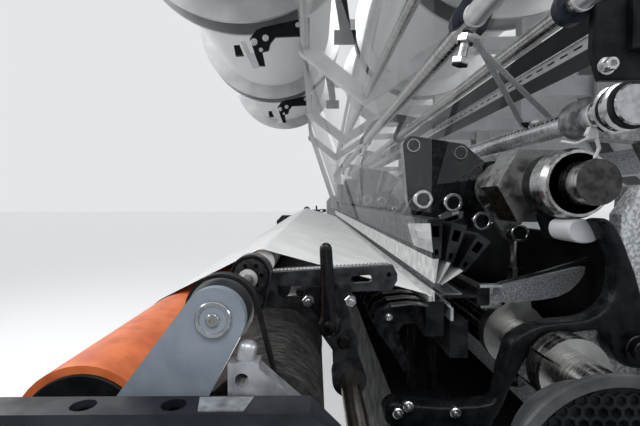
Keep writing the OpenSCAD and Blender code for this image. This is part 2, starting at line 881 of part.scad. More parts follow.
module emery_roller() {
    color("#4a423c") machine() {
        rod(emery_axis, emery_r, -arm_x0 + 40, arm_x0 - 40);
        rod(emery_axis, journal_r, -near_x + 4, near_x - 4);
        both_ends() rod(emery_axis, pulley_r, arm_x0 - 28, arm_x0 - 14);
    }
}

module batch_roll() {
    color("#f1f1ee") machine() {
        rod(batch_axis, batch_r, -fabric_half, fabric_half);
        rod(batch_axis, journal_r * 2, -frame_x + 3, frame_x - 3);
    }
}

// Temples
temple_x0 = half + temple_out;
pinion_teeth = gear_teeth / 2;
gear_r = gear_m * gear_teeth / 2;
pinion_r = gear_m * pinion_teeth / 2;
mesh_gap = 0.3;
pinion_dir = -82;
pinion_axis = temple_axis + polar(gear_r + pinion_r + mesh_gap, pinion_dir);
casing_wall = 2.2;
gear_x0 = temple_x0 + temple_t + 1;
gear_t = 8;
drum_axis = temple_axis + [28, -17];
nose_axis = temple_axis + [161, -1];
drum_r = 17;
nose_r = 8;
pin_belt_t = 2;
lever_axis = temple_axis + [90.6, -53.6];
leg_axis = temple_axis + [108.3, -81.4];

module side(far) {
    mirror([far ? 1 : 0, 0, 0]) children();
}

// One tooth is half a turn symmetric about its own angle
function tooth(r, n, a) = [
    for (s = [[-0.27, -1.15], [-0.2, 0], [-0.09, 0.85], [0.09, 0.85], [0.2, 0], [0.27, -1.15]])
        polar(r + s[1] * gear_m, a + s[0] * 360 / n)
];

module gear_profile(r, n, phase) {
    polygon([for (i = [0 : n - 1]) each tooth(r, n, phase + i * 360 / n)]);
}

module temple(far) {
    machine() side(far) {
        along(temple_x0, temple_x0 + temple_t) difference() {
            union() {
                disc(temple_axis, gear_r + 4);
                translate(temple_axis) polygon([
                    [14, 0.5], [50, 3.5], [166, 10], [171, 0], [171, -8], [164, -20], [112, -21], [112, -30],
                    [118, -72], [96, -72], [77, -62], [49, -42], [14, -40], [2, -40]
                ]);
                limb(lever_axis, leg_axis, 18, 16.5);
                limb(leg_axis, rail_axis, 14, 18);
                limb(temple_axis, pinion_axis, gear_r + 4, pinion_r + 4);
                disc(rail_axis, temple_rail_r + 9);
            }
            disc(temple_axis, temple_shaft_r + running);
            disc(pinion_axis, 3 + running);
            translate(temple_axis) polygon([[30, -14], [58, -14], [58, -27], [36, -29], [30, -24]]);
            limb(temple_axis + [121, -7], temple_axis + [137, -6], 4.6, 4.6);
            disc(leg_axis, 4.9);
            disc(rail_axis, temple_rail_r + running);
            disc(nose_axis, 3);
        }
        along(temple_x0 - 16, temple_x0) {
            difference() {
                disc(drum_axis, drum_r);
                disc(temple_axis, temple_shaft_r + 2);
            }
            disc(nose_axis, nose_r);
        }
        along(temple_x0 + temple_t, gear_x0 + gear_t + 2) {
            difference() {
                limb(temple_axis, pinion_axis, gear_r + 4, pinion_r + 4);
                limb(temple_axis, pinion_axis, gear_r + 4 - casing_wall, pinion_r + 4 - casing_wall);
            }
        }
        along(temple_x0 + temple_t, temple_x0 + temple_t + 7) {
            disc(temple_axis + [66, -30], 7);
            disc(temple_axis + [115, -30], 7);
        }
        along(temple_x0 + temple_t, temple_x0 + temple_t + 24) disc(lever_axis, 6);
        along(temple_x0 - 10, temple_x0 + temple_t + 10) difference() {
            disc(rail_axis, temple_rail_r + 9);
            disc(rail_axis, temple_rail_r + running);
        }
    }
}

module at(c) { translate([0, c.x, c.y]) children(); }

module near_temple() { color("#33363a") temple(false); }

module far_temple() { color("#33363a") temple(true); }

module drive_gear(far) {
    machine() side(far) at(temple_axis) along(gear_x0, gear_x0 + gear_t) difference() {
        gear_profile(gear_r, gear_teeth, pinion_dir + 180 / gear_teeth);
        disc([0, 0], temple_shaft_r + running);
        for (a = [0 : 60 : 300]) disc(polar(gear_r * 0.62, a), gear_r * 0.13);
    }
}

module pinion(far) {
    machine() side(far) at(pinion_axis) {
        along(gear_x0, gear_x0 + gear_t) gear_profile(pinion_r, pinion_teeth, pinion_dir);
        along(temple_x0 + 1, gear_x0 + e) disc([0, 0], 3);
        along(gear_x0 + gear_t - e, gear_x0 + gear_t + 2) disc([0, 0], 4);
    }
}

module near_gear() { color("#8f9498") drive_gear(false); }

module far_gear() { color("#8f9498") drive_gear(true); }

module near_pinion() { color("#9da1a4") pinion(false); }

module far_pinion() { color("#9da1a4") pinion(true); }

// Belt of pins round the drum and the nose, behind the plate
module pin_belt(far) {
    out = nose_r - drum_r;
    run = norm(nose_axis - drum_axis);
    lean = atan2(nose_axis.y - drum_axis.y, nose_axis.x - drum_axis.x);
    open = acos(-out / run);
    machine() side(far) along(temple_x0 - 15, temple_x0 - 1) difference() {
        limb(drum_axis, nose_axis, drum_r + skin_gap + pin_belt_t, nose_r + skin_gap + pin_belt_t);
        limb(drum_axis, nose_axis, drum_r + skin_gap, nose_r + skin_gap);
    }
    machine() side(far) for (s = [-1, 1]) {
        a = lean + s * open;
        p = drum_axis + polar(drum_r + skin_gap + pin_belt_t - 0.2, a);
        q = nose_axis + polar(nose_r + skin_gap + pin_belt_t - 0.2, a);
        n = floor(norm(q - p) / 4.56);
        for (i = [0 : n]) translate([temple_x0 - 4, 0, 0]) at(p + (q - p) * i / n)
            rotate([a - 90, 0, 0]) cylinder(r = 0.8, h = 2.7, $fn = 6);
    }
}

module near_pin_belt() { color("#b9bcbf") pin_belt(false); }

module far_pin_belt() { color("#b9bcbf") pin_belt(true); }

module lever(far) {
    x0 = temple_x0 + temple_t + 8;
    tip = lever_axis + polar(lever_len - 8, 93);
    machine() side(far) difference() {
        union() {
            rod(lever_axis, lever_r, x0, x0 + 18);
            along(x0, x0 + 18) polygon([
                lever_axis + polar(lever_r - 3, 133), tip + polar(5, 183), tip + polar(5, 3),
                lever_axis + polar(lever_r - 3, 53)
            ]);
            rod(tip, 7, x0, x0 + 18);
        }
        rod(lever_axis, 6 + running, x0 - 1, x0 + 19);
    }
}

module near_lever() { color("#0f1012") lever(false); }

module far_lever() { color("#0f1012") lever(true); }

// Warp beams: shaft, flanges and yarn of each section
module beam(c) {
    rod(c, beam_shaft_r, -last(stand_x) - stand_t / 2 - 20, last(stand_x) + stand_t / 2 + 20);
    for (x = [-section_pitch, 0, section_pitch]) {
        len = section_pitch - section_gap;
        along(x - len / 2 + flange_t, x + len / 2 - flange_t) difference() {
            disc(c, yarn_r);
            disc(c, beam_shaft_r - e);
        }
        for (s = [-1, 1]) {
            xf = x + s * (len / 2 - flange_t / 2);
            along(xf - flange_t / 2, xf + flange_t / 2) difference() {
                disc(c, flange_r);
                disc(c, beam_shaft_r - e);
                for (a = [0 : 60 : 300]) disc(c + polar(yarn_r * 0.55, a), 30);
            }
        }
    }
}

module front_beam() { color("#dfe1e3") machine() beam(front_beam_axis); }

module middle_beam() { color("#dfe1e3") machine() beam(middle_beam_axis); }

module rear_beam() { color("#dfe1e3") machine() beam(rear_beam_axis); }

end_frames();
bed();
swan_necks();
inner_brackets();
guide_bearings();
beam_stands();
tie_rails();
feet();
spreader_arms();
end_brackets();
shaft_guard();
temple_rail();
shog_drive();
main_motor();
let_off_motors();
batch_arms();
yarn_rods();
tension_rods();
rod_hooks();
hook_rail();
slotted_tube();
tube_brackets();
elastic_bands();
front_sheet();
middle_sheet();
rear_sheet();
brake_arms();
guide_shaft();
shaft_clamps();
hangers();
drive_links();
front_bar();
middle_bar();
rear_bar();
needle_bar();
tongue_bar();
rocker_shaft();
fin_levers();
sinker_bar();
main_shaft();
fabric();
spreader_roller();
temple_shaft();
take_up_belts();
rubber_roller();
emery_roller();
batch_roll();
near_temple();
near_gear();
near_pinion();
near_pin_belt();
near_lever();
far_temple();
far_gear();
far_pinion();
far_pin_belt();
far_lever();
front_beam();
middle_beam();
rear_beam();
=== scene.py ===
# A warp knitting machine of the tricot type, seen along its length from the end of the needle bar.
# X runs along the machine, -Y is the operator's side, Z is up; metres, in the frame of the model.
import math
from collections import defaultdict

import bpy
import numpy as np
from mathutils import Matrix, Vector


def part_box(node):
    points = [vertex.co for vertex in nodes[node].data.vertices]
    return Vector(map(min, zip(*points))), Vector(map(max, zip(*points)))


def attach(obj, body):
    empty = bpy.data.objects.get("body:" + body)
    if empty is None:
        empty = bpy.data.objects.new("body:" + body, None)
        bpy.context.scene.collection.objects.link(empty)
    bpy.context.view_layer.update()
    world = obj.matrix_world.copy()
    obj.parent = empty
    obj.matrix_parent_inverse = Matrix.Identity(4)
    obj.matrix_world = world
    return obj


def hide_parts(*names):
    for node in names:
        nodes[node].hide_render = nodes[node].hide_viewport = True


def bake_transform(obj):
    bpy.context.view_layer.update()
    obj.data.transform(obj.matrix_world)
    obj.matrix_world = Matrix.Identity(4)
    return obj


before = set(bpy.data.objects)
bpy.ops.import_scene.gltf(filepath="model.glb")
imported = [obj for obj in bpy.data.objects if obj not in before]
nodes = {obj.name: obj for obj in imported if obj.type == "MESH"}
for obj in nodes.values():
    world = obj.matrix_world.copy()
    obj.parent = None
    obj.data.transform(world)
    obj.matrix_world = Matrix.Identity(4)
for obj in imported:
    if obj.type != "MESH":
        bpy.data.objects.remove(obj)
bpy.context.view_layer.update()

# Place of the knitting line, and the axes that run along the machine.
# The guide shaft lies a known way above and behind the last needle, so its box gives the line that
# every cross-section of the machine is drawn from, in millimetres of (y, z).
guide_axis = (165, 151)
rocker_axis = (120, -65)
spreader_axis = (-244, 43)
rubber_axis = (-354, -58)
lever_axis = (-153.4, -10.6)
tube_axis = (170, 232)
cowl_axis = (51, -80)
beam_axes = {"front_beam": (-430, 1160), "middle_beam": (490, 1180), "rear_beam": (1230, 540)}
rod_axes = ((11, 338), (133, 357))
hanger_places = (-1250, -416.667, 416.667, 1250)
stand_places = (-1650, -550, 550, 1650)
shaft_low, shaft_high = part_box("guide_shaft")
line = (shaft_low + shaft_high) / 2 - Vector((0, guide_axis[0], guide_axis[1])) / 1000


def at(x, y, z):
    """A point of the machine: x along it from mid-width, y and z from the knitting line, in mm."""
    return Vector((line.x + x / 1000, line.y + y / 1000, line.z + z / 1000))


# Camera, floor and light.
# The photograph looks along the machine from just outside the near end frame, through a wide lens
# at about eye height. The floor is pale, and the light is broad, soft and mostly from above.
film_width = 36
picture_width = 640
focal_length = 427
vanishing_offset = (5, -13)
ahead = Vector((-1, vanishing_offset[0] / focal_length, vanishing_offset[1] / focal_length))
camera = bpy.data.objects.new("camera", bpy.data.cameras.new("camera"))
camera.data.sensor_width = film_width
camera.data.lens = focal_length * film_width / picture_width
camera.data.clip_start = 0.01
camera.data.clip_end = 200
camera.location = at(2100, -170, 130)
camera.rotation_euler = ahead.to_track_quat("-Z", "Y").to_euler()
bpy.context.scene.collection.objects.link(camera)
bpy.context.scene.camera = camera
bpy.context.scene.view_settings.view_transform = "Standard"


def add_node(tree, kind, **inputs):
    """Adds a shader node and sets its inputs by name, with an underscore for each space."""
    node = tree.nodes.new("ShaderNode" + kind)
    for socket, value in inputs.items():
        node.inputs[socket.replace("_", " ")].default_value = value
    return node


reach = 40
floor_mesh = bpy.data.meshes.new("floor")
floor_corners = [(-reach, -reach, 0), (reach, -reach, 0), (reach, reach, 0), (-reach, reach, 0)]
floor_mesh.from_pydata(floor_corners, [], [(0, 1, 2, 3)])
floor = bpy.data.objects.new("floor", floor_mesh)
bpy.context.scene.collection.objects.link(floor)
floor_paint = bpy.data.materials.new("floor")
floor_paint.use_nodes = True
floor_tree = floor_paint.node_tree
floor_skin = floor_tree.nodes["Principled BSDF"]
floor_skin.inputs["Base Color"].default_value = (0.86, 0.86, 0.85, 1)
floor_skin.inputs["Roughness"].default_value = 0.6
floor_skin.inputs["Emission Color"].default_value = (0.97, 0.98, 1, 1)
floor_rays = add_node(floor_tree, "LightPath")
floor_lift = add_node(floor_tree, "Math")
floor_lift.operation = "MULTIPLY"
floor_lift.inputs[1].default_value = 0.34
floor_tree.links.new(floor_rays.outputs["Is Camera Ray"], floor_lift.inputs[0])
floor_tree.links.new(floor_lift.outputs[0], floor_skin.inputs["Emission Strength"])
floor.data.materials.append(floor_paint)

# The hall lights the machine softly, and is brighter where it is seen, mirrored or looked through.
hall = bpy.data.worlds.new("hall")
bpy.context.scene.world = hall
hall.use_nodes = True
hall_tree = hall.node_tree
lit = hall_tree.nodes["Background"]
lit.inputs["Color"].default_value = (0.82, 0.86, 0.92, 1)
lit.inputs["Strength"].default_value = 0.42
seen = add_node(hall_tree, "Background", Color=(0.86, 0.88, 0.90, 1), Strength=0.9)
rays = add_node(hall_tree, "LightPath")
pick = add_node(hall_tree, "MixShader")
direct = rays.outputs["Is Camera Ray"]
for kind in ("Is Glossy Ray", "Is Transmission Ray"):
    either = add_node(hall_tree, "Math")
    either.operation = "MAXIMUM"
    hall_tree.links.new(direct, either.inputs[0])
    hall_tree.links.new(rays.outputs[kind], either.inputs[1])
    direct = either.outputs[0]
hall_tree.links.new(direct, pick.inputs["Fac"])
hall_tree.links.new(lit.outputs[0], pick.inputs[1])
hall_tree.links.new(seen.outputs[0], pick.inputs[2])
hall_tree.links.new(pick.outputs[0], hall_tree.nodes["World Output"].inputs["Surface"])


def softbox(name, where, towards, width, height, watts):
    """Adds a broad lamp that faces a place of the machine, both in metres."""
    lamp = bpy.data.objects.new(name, bpy.data.lights.new(name, "AREA"))
    lamp.data.shape = "RECTANGLE"
    lamp.data.size = width
    lamp.data.size_y = height
    lamp.data.energy = watts
    lamp.location = where
    lamp.rotation_euler = (Vector(towards) - Vector(where)).to_track_quat("-Z", "Y").to_euler()
    bpy.context.scene.collection.objects.link(lamp)


softbox("aisle_lamp", (0.6, -3.4, 3.2), (0.4, -0.4, 1.0), 5.0, 0.8, 84)
softbox("end_lamp", (3.5, -0.3, 3.5), (1.2, -0.4, 1.1), 2.4, 1.2, 54)
softbox("rear_lamp", (1.2, 3.6, 2.6), (0.6, 0.1, 1.0), 4.0, 1.0, 62)


# Bed: one long box casting that carries the needle bars' rods and, on its back wall, the brackets.
# It is cast iron under a light grey hammer finish, whose skin is mottled and slightly dimpled.
def noise_of(tree, scale, detail, stretch):
    """A noise over patches of 1/scale metres, stretched along some axes."""
    where = add_node(tree, "TexCoord")
    span = add_node(tree, "Mapping", Scale=stretch)
    noise = add_node(tree, "TexNoise", Scale=scale, Detail=detail)
    tree.links.new(where.outputs["Object"], span.inputs["Vector"])
    tree.links.new(span.outputs["Vector"], noise.inputs["Vector"])
    return noise.outputs["Fac"]


def mottle(tree, skin, dark, light, scale, detail=4, stretch=(1, 1, 1), low=0.38, high=0.62):
    """Drifts the colour between dark and light."""
    ramp = add_node(tree, "ValToRGB")
    for stop, place, tone in zip(ramp.color_ramp.elements, (low, high), (dark, light)):
        stop.position = place
        stop.color = (*tone, 1)
    tree.links.new(noise_of(tree, scale, detail, stretch), ramp.inputs["Fac"])
    tree.links.new(ramp.outputs["Color"], skin.inputs["Base Color"])
    skin.inputs["Base Color"].default_value = (*(Vector(dark) + Vector(light)) / 2, 1)


def wear(tree, skin, least, most, scale, stretch=(1, 1, 1)):
    """Varies the roughness, as handling and oil do."""
    spread = add_node(tree, "MapRange", From_Min=0.35, From_Max=0.65, To_Min=least, To_Max=most)
    tree.links.new(noise_of(tree, scale, 3, stretch), spread.inputs["Value"])
    tree.links.new(spread.outputs["Result"], skin.inputs["Roughness"])
    skin.inputs["Roughness"].default_value = (least + most) / 2


def raise_grain(tree, skin, scale, height, stretch=(1, 1, 1)):
    """Raises the surface by up to height metres."""
    bump = add_node(tree, "Bump", Distance=height)
    tree.links.new(noise_of(tree, scale, 3, stretch), bump.inputs["Height"])
    tree.links.new(bump.outputs["Normal"], skin.inputs["Normal"])


def finish(name, colour, rough, metal=0.0, shine=0.5, grain=None, sheen=0.0):
    """A finish of the machine. Its colour is one (r, g, b), or (dark, light, scale, ...) where it
    drifts between two over patches of 1/scale metres. Its roughness is one number, or (least, most,
    scale, ...) where handling and oil vary it. Its grain is (scale, height, ...), in metres."""
    made = bpy.data.materials.new(name)
    made.use_nodes = True
    tree = made.node_tree
    skin = tree.nodes["Principled BSDF"]
    skin.inputs["Specular IOR Level"].default_value = shine
    skin.inputs["Metallic"].default_value = metal
    skin.inputs["Sheen Weight"].default_value = sheen
    if isinstance(colour[0], tuple):
        mottle(tree, skin, *colour)
    else:
        skin.inputs["Base Color"].default_value = (*colour, 1)
    if isinstance(rough, tuple):
        wear(tree, skin, *rough)
    else:
        skin.inputs["Roughness"].default_value = rough
    if grain:
        raise_grain(tree, skin, *grain)
    return made


def dress(names, made, edge=0.0008, worn=None):
    """Gives nodes of the frame their finish, and breaks their sharp edges, worn bare if need be."""
    for name in names:
        part = nodes[name]
        part.data.materials.clear()
        part.data.materials.append(made)
        if not edge:
            continue
        eased = part.modifiers.new("edges", "BEVEL")
        eased.width = edge
        eased.segments = 2
        eased.limit_method = "ANGLE"
        eased.angle_limit = math.radians(38)
        if worn:
            part.data.materials.append(worn)
            eased.material = 1


def shade_over(made, tint, axis, start, stop):
    """Paints shade onto a finish: darkens it towards tint as the place along one axis goes from
    start to stop.
    """
    tree = made.node_tree
    skin = tree.nodes["Principled BSDF"]
    colour = skin.inputs["Base Color"].links[0].from_socket
    where = add_node(tree, "TexCoord")
    parts = add_node(tree, "SeparateXYZ")
    ease = add_node(tree, "MapRange", From_Min=start, From_Max=stop)
    blend = add_node(tree, "Mix")
    blend.data_type = "RGBA"
    blend.inputs[7].default_value = (*tint, 1)
    tree.links.new(where.outputs["Object"], parts.inputs["Vector"])
    tree.links.new(parts.outputs[axis], ease.inputs["Value"])
    tree.links.new(ease.outputs["Result"], blend.inputs[0])
    tree.links.new(colour, blend.inputs[6])
    tree.links.new(blend.outputs[2], skin.inputs["Base Color"])


hammer_grey = finish(
    "hammer_grey", ((0.20, 0.215, 0.23), (0.46, 0.48, 0.50), 260, 2), (0.3, 0.5, 30),
    grain=(420, 0.0006))
dress(["tie_rails", "batch_arms"], hammer_grey, 0.002)
bed_grey = finish(
    "bed_grey", ((0.36, 0.375, 0.39), (0.74, 0.76, 0.78), 240, 2, (1, 1, 1), 0.42, 0.6),
    (0.3, 0.5, 30), shine=0.2, grain=(420, 0.0006))
# The bed is painted dark towards its front, from 95 mm to 62 mm behind the knitting line, as
# painted shade.
shade_over(bed_grey, (0.012, 0.013, 0.015), 1, at(0, 95, 0).y, at(0, 62, 0).y)
dress(["bed"], bed_grey, 0.004)

# End frames: thick plates at both ends, chamfered beside the take-up rollers.
# They are steel under dark satin paint, chipped to primer along the top, with sunk cap screws.
satin_dark = finish(
    "satin_dark", ((0.010, 0.012, 0.016), (0.026, 0.029, 0.036), 24), (0.28, 0.5, 60), shine=0.2,
    grain=(900, 0.00005))
frame_edge = finish("frame_edge", ((0.16, 0.17, 0.19), (0.42, 0.44, 0.46), 70), 0.35, metal=0.4)
dress(["end_frames"], satin_dark, 0.0016, frame_edge)


piles = defaultdict(lambda: ([], []))


def turned(name, profile, base, axis, sides=24):
    """Adds a form turned about a line to the pile of a piece. The profile gives (radius, way along
    the axis) in mm; a negative radius makes that ring a hexagon, and 0 makes it a point."""
    verts, faces = piles[name]
    axis = Vector(axis).normalized()
    side = axis.orthogonal().normalized()
    up = axis.cross(side)
    rings = []
    for radius, along in profile:
        middle = base + axis * (along / 1000)
        if radius == 0:
            rings.append([len(verts)])
            verts.append(middle)
            continue
        ring = []
        for i in range(sides):
            angle = 2 * math.pi * i / sides
            r = radius
            if radius < 0:
                r = -radius * math.cos(math.pi / 6) / math.cos(angle % (math.pi / 3) - math.pi / 6)
            ring.append(len(verts))
            verts.append(middle + (side * math.cos(angle) + up * math.sin(angle)) * (r / 1000))
        rings.append(ring)
    for a, b in zip(rings, rings[1:]):
        for i in range(sides):
            j = (i + 1) % sides
            corners = [a[i % len(a)], a[j % len(a)], b[j % len(b)], b[i % len(b)]]
            faces.append(tuple(dict.fromkeys(corners)))
    for ring, order in ((rings[0], -1), (rings[-1], 1)):
        if len(ring) > 1:
            faces.append(tuple(ring[::order]))


def turned_ends(name, profile, x, y, z, sides=24):
    """Adds a turned form at each end of the machine, with its axis outwards."""
    for side in (-1, 1):
        turned(name, profile, at(side * x, y, z), (side, 0, 0), sides)


def piece(name, made, body="frame", smooth=35):
    """Makes one object of the pile of that name, and lets it ride on a body of the machine."""
    verts, faces = piles[name]
    mesh = bpy.data.meshes.new(name)
    mesh.from_pydata([tuple(v) for v in verts], [], faces)
    mesh.materials.append(made)
    mesh.validate()
    obj = bpy.data.objects.new(name, mesh)
    bpy.context.scene.collection.objects.link(obj)
    if smooth:
        mesh.shade_smooth()
        mesh.set_sharp_from_angle(angle=math.radians(smooth))
    if body:
        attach(obj, body)
    return obj


def cap_screw(name, base, axis, r, h):
    """A socket-head cap screw: knurled rim, rounded edge, six-sided socket."""
    socket = r * 0.6
    floor_of_socket = h * 0.45
    profile = [(r, -1), (r, h - 1), (r - 1, h)]
    profile += [(-socket, h), (-socket, floor_of_socket), (0, floor_of_socket)]
    turned(name, profile, base, axis)


def screw_ends(name, x, y, z, r, h):
    """Adds a cap screw at each end of the machine, with its head outwards."""
    for side in (-1, 1):
        cap_screw(name, at(side * x, y, z), (side, 0, 0), r, h)


black_oxide = finish("black_oxide", (0.018, 0.018, 0.02), (0.22, 0.45, 120), metal=0.9)
for side in (-1, 1):
    for y in (-327, -266):
        cap_screw("frame_screws", at(side * 1813, y, -21), (0, 0, 1), 7.8, 8)
piece("frame_screws", black_oxide)
pad_corners = ((1803, -251), (1823, -247), (1823, -217), (1803, -213))
pad_faces = ((3, 2, 1, 0), (4, 5, 6, 7), (0, 1, 5, 4), (1, 2, 6, 5), (2, 3, 7, 6), (3, 0, 4, 7))
for side in (-1, 1):
    first = len(piles["frame_pads"][0])
    piles["frame_pads"][0].extend(at(side * x, y, z) for z in (-9.2, -8.2) for x, y in pad_corners)
    piles["frame_pads"][1].extend(tuple(first + k for k in face) for face in pad_faces)
piece("frame_pads", frame_edge)

# Inner brackets: cast arms that carry the rocker shafts on the bed's back wall.
# They are cast iron in glossy black enamel, as the swan necks are, whose screws are made here too.
black_enamel = finish(
    "black_enamel", ((0.003, 0.0035, 0.004), (0.009, 0.010, 0.012), 60), (0.16, 0.44, 90),
    shine=0.12, grain=(200, 0.0006))
dress(["inner_brackets"], black_enamel, 0.005)
screw_ends("neck_screws", 1606, 212, -46, 12, 9)
turned_ends("neck_screws", [(17, 0), (17, 1.5), (16, 2.4), (12, 2.4)], 1606, 212, -46)
foot_screw = [(6.5, -2), (6.5, 5), (5.4, 6), (3, 6), (2.6, 10), (0, 10.4)]
for y, z in ((-72, -122), (-60, -114), (-4, -122)):
    turned_ends("neck_foot_screws", foot_screw, 1600, y, z, 16)
piece("neck_screws", black_oxide)
bright_zinc = finish(
    "bright_zinc", ((0.42, 0.43, 0.44), (0.62, 0.63, 0.64), 180), (0.14, 0.34, 160), metal=1.0)
piece("neck_foot_screws", bright_zinc)


def plate(name, outline, x0, x1, chamfer=0.0, bends=1):
    """Adds a plate of a (y, z) outline between two places along the machine. Its edges are
    chamfered, or rounded over where the chamfer is made in several bends."""
    verts, faces = piles[name]
    n = len(outline)
    pairs = [(outline[i - 1], outline[i]) for i in range(n)]
    turn = math.copysign(1, sum(a[0] * b[1] - b[0] * a[1] for a, b in pairs))
    towards = math.copysign(chamfer, x1 - x0)
    if turn * (x1 - x0) < 0:
        outline = outline[::-1]
        turn = -turn
    edge = [(0, 0)]
    if chamfer:
        angles = [math.pi / 2 * k / bends for k in range(bends + 1)]
        edge = [(1 - math.cos(angle), 1 - math.sin(angle)) for angle in angles]
    steps = [(x0 + towards * way, chamfer * inset) for way, inset in edge]
    steps += [(x1 - towards * way, chamfer * inset) for way, inset in edge[::-1]]
    rings = []
    for x, inset in steps:
        rings.append(len(verts))
        for i, (y, z) in enumerate(outline):
            before, after = outline[i - 1], outline[(i + 1) % n]
            ay, az = y - before[0], z - before[1]
            by, bz = after[0] - y, after[1] - z
            la, lb = math.hypot(ay, az), math.hypot(by, bz)
            ny, nz = -(az / la + bz / lb), ay / la + by / lb
            size = (math.hypot(ny, nz) or 1) / turn
            verts.append(at(x, y + ny / size * inset, z + nz / size * inset))
    for a, b in zip(rings, rings[1:]):
        faces.extend((a + i, a + (i + 1) % n, b + (i + 1) % n, b + i) for i in range(n))
    faces.append(tuple(range(rings[0] + n - 1, rings[0] - 1, -1)))
    faces.append(tuple(range(rings[-1], rings[-1] + n)))


def plate_ends(name, outline, x0, x1, chamfer=0.0, bends=1):
    """Adds a plate at each end of the machine, from x0 outwards to x1."""
    for side in (-1, 1):
        plate(name, outline, side * x0, side * x1, chamfer, bends)


# Swan necks at the ends: slim arched castings that stand on a foot in the bed, pass over the rocker
# shaft and rise to the guide shaft's bearing. Their edges are cast round, under thick black enamel.
def cast_round(outline, cut=8):
    """Rounds the corners of an outline twice, each time by a quarter of a side or by cut mm."""
    for _ in range(2):
        eased = []
        for i, (y, z) in enumerate(outline):
            after = outline[(i + 1) % len(outline)]
            run = math.dist((y, z), after)
            share = min(0.25, cut / run)
            for way in (share, 1 - share):
                eased.append((y + (after[0] - y) * way, z + (after[1] - z) * way))
        outline = eased
    return outline


neck_outline = [
    (163, 106), (172, 97), (178, 82), (188, 63), (191, 50), (191, 32), (188, 16), (178, 1),
    (158, -13), (111, -17), (95, -20), (73, -31), (63, -40), (59, -57), (54, -72), (52, -88),
    (48, -107), (39, -115), (-15, -118), (-60, -114), (-80, -110), (-90, -124), (-84, -142),
    (-60, -150), (8, -150), (8, -199), (38, -199), (40, -142), (54, -121), (60, -105),
    (66, -90), (78, -68), (87, -53), (93, -41), (103, -34), (117, -32), (147, -28), (176, -25),
    (183, -31), (183, -47), (190, -60), (200, -69), (214, -73), (239, -73), (239, -22),
    (231, -6), (221, 12), (211, 46), (205, 60), (198, 79), (188, 98), (180, 106), (173, 109),
]
plate_ends("swan_neck_castings", cast_round(neck_outline), 1572, 1600, 5, 3)
swan_necks = piece("swan_neck_castings", black_enamel, smooth=40)
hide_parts("swan_necks")

# Rocker shaft's end bearings and the ribs behind the necks.
# They are speckled grey castings, bolted through the pedestal and finished as the bed is.
end_collar = [(24.8, 0), (40, 0), (40, 13), (39, 14.5), (24.8, 14.5)]
web_outline = [
    (239, -24), (130, -26), (142, -36), (153, -46), (158, -62), (156, -78), (148, -91),
    (132, -103), (150, -128), (239, -128),
]
rib_outline = [(214, 112), (240, 148), (252, 148), (244, -30), (222, -24), (214, 60)]
turned_ends("bearing_webs", end_collar, 1556, *rocker_axis, 48)
plate_ends("bearing_webs", web_outline, 1558, 1569, 1)
plate_ends("bearing_webs", rib_outline, 1546, 1571, 1.5)
piece("bearing_webs", bed_grey)

# Rear shade sheets: near-black folded sheets in front of the bed's back wall, one between each two
# brackets. They are painted shade, standing for the shadow over the wall and floor of the bed.
# Each is bent out along the bed's floor, in two strips that leave a slot for the drive links.
shade_sheet_black = finish(
    "shade_sheet_black", ((0.004, 0.0045, 0.005), (0.009, 0.0095, 0.010), 20), 0.5, shine=0.06)
shade_sheet_fold = [(235.5, -196), (235.5, 75), (252, 75), (252, 73.5), (237, 73.5), (237, -196)]
for x0, x1 in ((-1544, -790), (-710, -40), (40, 710), (790, 1544)):
    plate("rear_shade_sheets", shade_sheet_fold, x0, x1, 0.4)
    for y0, y1 in ((60, 166), (212, 237)):
        plate("rear_shade_sheets", [(y0, -198), (y0, -196.4), (y1, -196.4), (y1, -198)], x0, x1, 0.3)
piece("rear_shade_sheets", shade_sheet_black, smooth=30)

# Stands, brackets and covers in light grey paint.
# The stands are cut from plate and hold the warp beams; the pattern drive sits in a folded housing.
light_paint = finish(
    "light_paint", ((0.50, 0.52, 0.54), (0.60, 0.62, 0.64), 12), (0.35, 0.55, 40),
    grain=(700, 0.00006))
dress(["beam_stands", "shog_drive"], light_paint, 0.0015)
zinc_grey = finish(
    "zinc_grey", ((0.27, 0.28, 0.30), (0.46, 0.475, 0.50), 60), (0.26, 0.46, 90), metal=0.6)
dress(["end_brackets"], zinc_grey, 0.002)
domed_stud = [(7, 0), (7, 9), (6.4, 11.5), (4.6, 13.2), (2.4, 14), (0, 14.2)]
for side in (-1, 1):
    turned("bracket_studs", domed_stud, at(side * 1790, -221, 13.6), (0, 0.25, 1), 28)
piece("bracket_studs", zinc_grey)

# Spreader arms: flat plates that hold the ends of the spreader roller.
# They are painted a flat blue-grey, and each has a chrome bearing ring and a centre screw.
blue_grey = finish(
    "blue_grey_paint", ((0.205, 0.24, 0.285), (0.27, 0.31, 0.36), 30), 0.5, grain=(800, 0.00006))
dress(["spreader_arms"], blue_grey, 0.0015)
chrome = finish(
    "chrome", ((0.34, 0.35, 0.36), (0.47, 0.48, 0.49), 120, 3, (4, 1, 1)), (0.08, 0.24, 60),
    metal=1.0)
arm_face = (1790, *spreader_axis)
outer_ring = [(9.5, 0), (13.5, 0), (13.5, 2.6), (12.8, 3.4), (10.2, 3.4), (9.5, 2.6)]
centre_screw = [(5.0, 0), (5.0, 4.2), (4.4, 4.8), (2.0, 4.8), (1.6, 4.0), (0, 4.0)]
for profile in (outer_ring, centre_screw):
    turned_ends("arm_rings", profile, *arm_face)
turned_ends("arm_seals", [(5.0, 0), (9.5, 0), (9.5, 2.2), (5.0, 2.2)], *arm_face)
black_rubber = finish(
    "black_rubber", ((0.007, 0.007, 0.008), (0.016, 0.016, 0.017), 90), 0.5, shine=0.14,
    grain=(600, 0.0001))
piece("arm_rings", chrome)
piece("arm_seals", black_rubber)

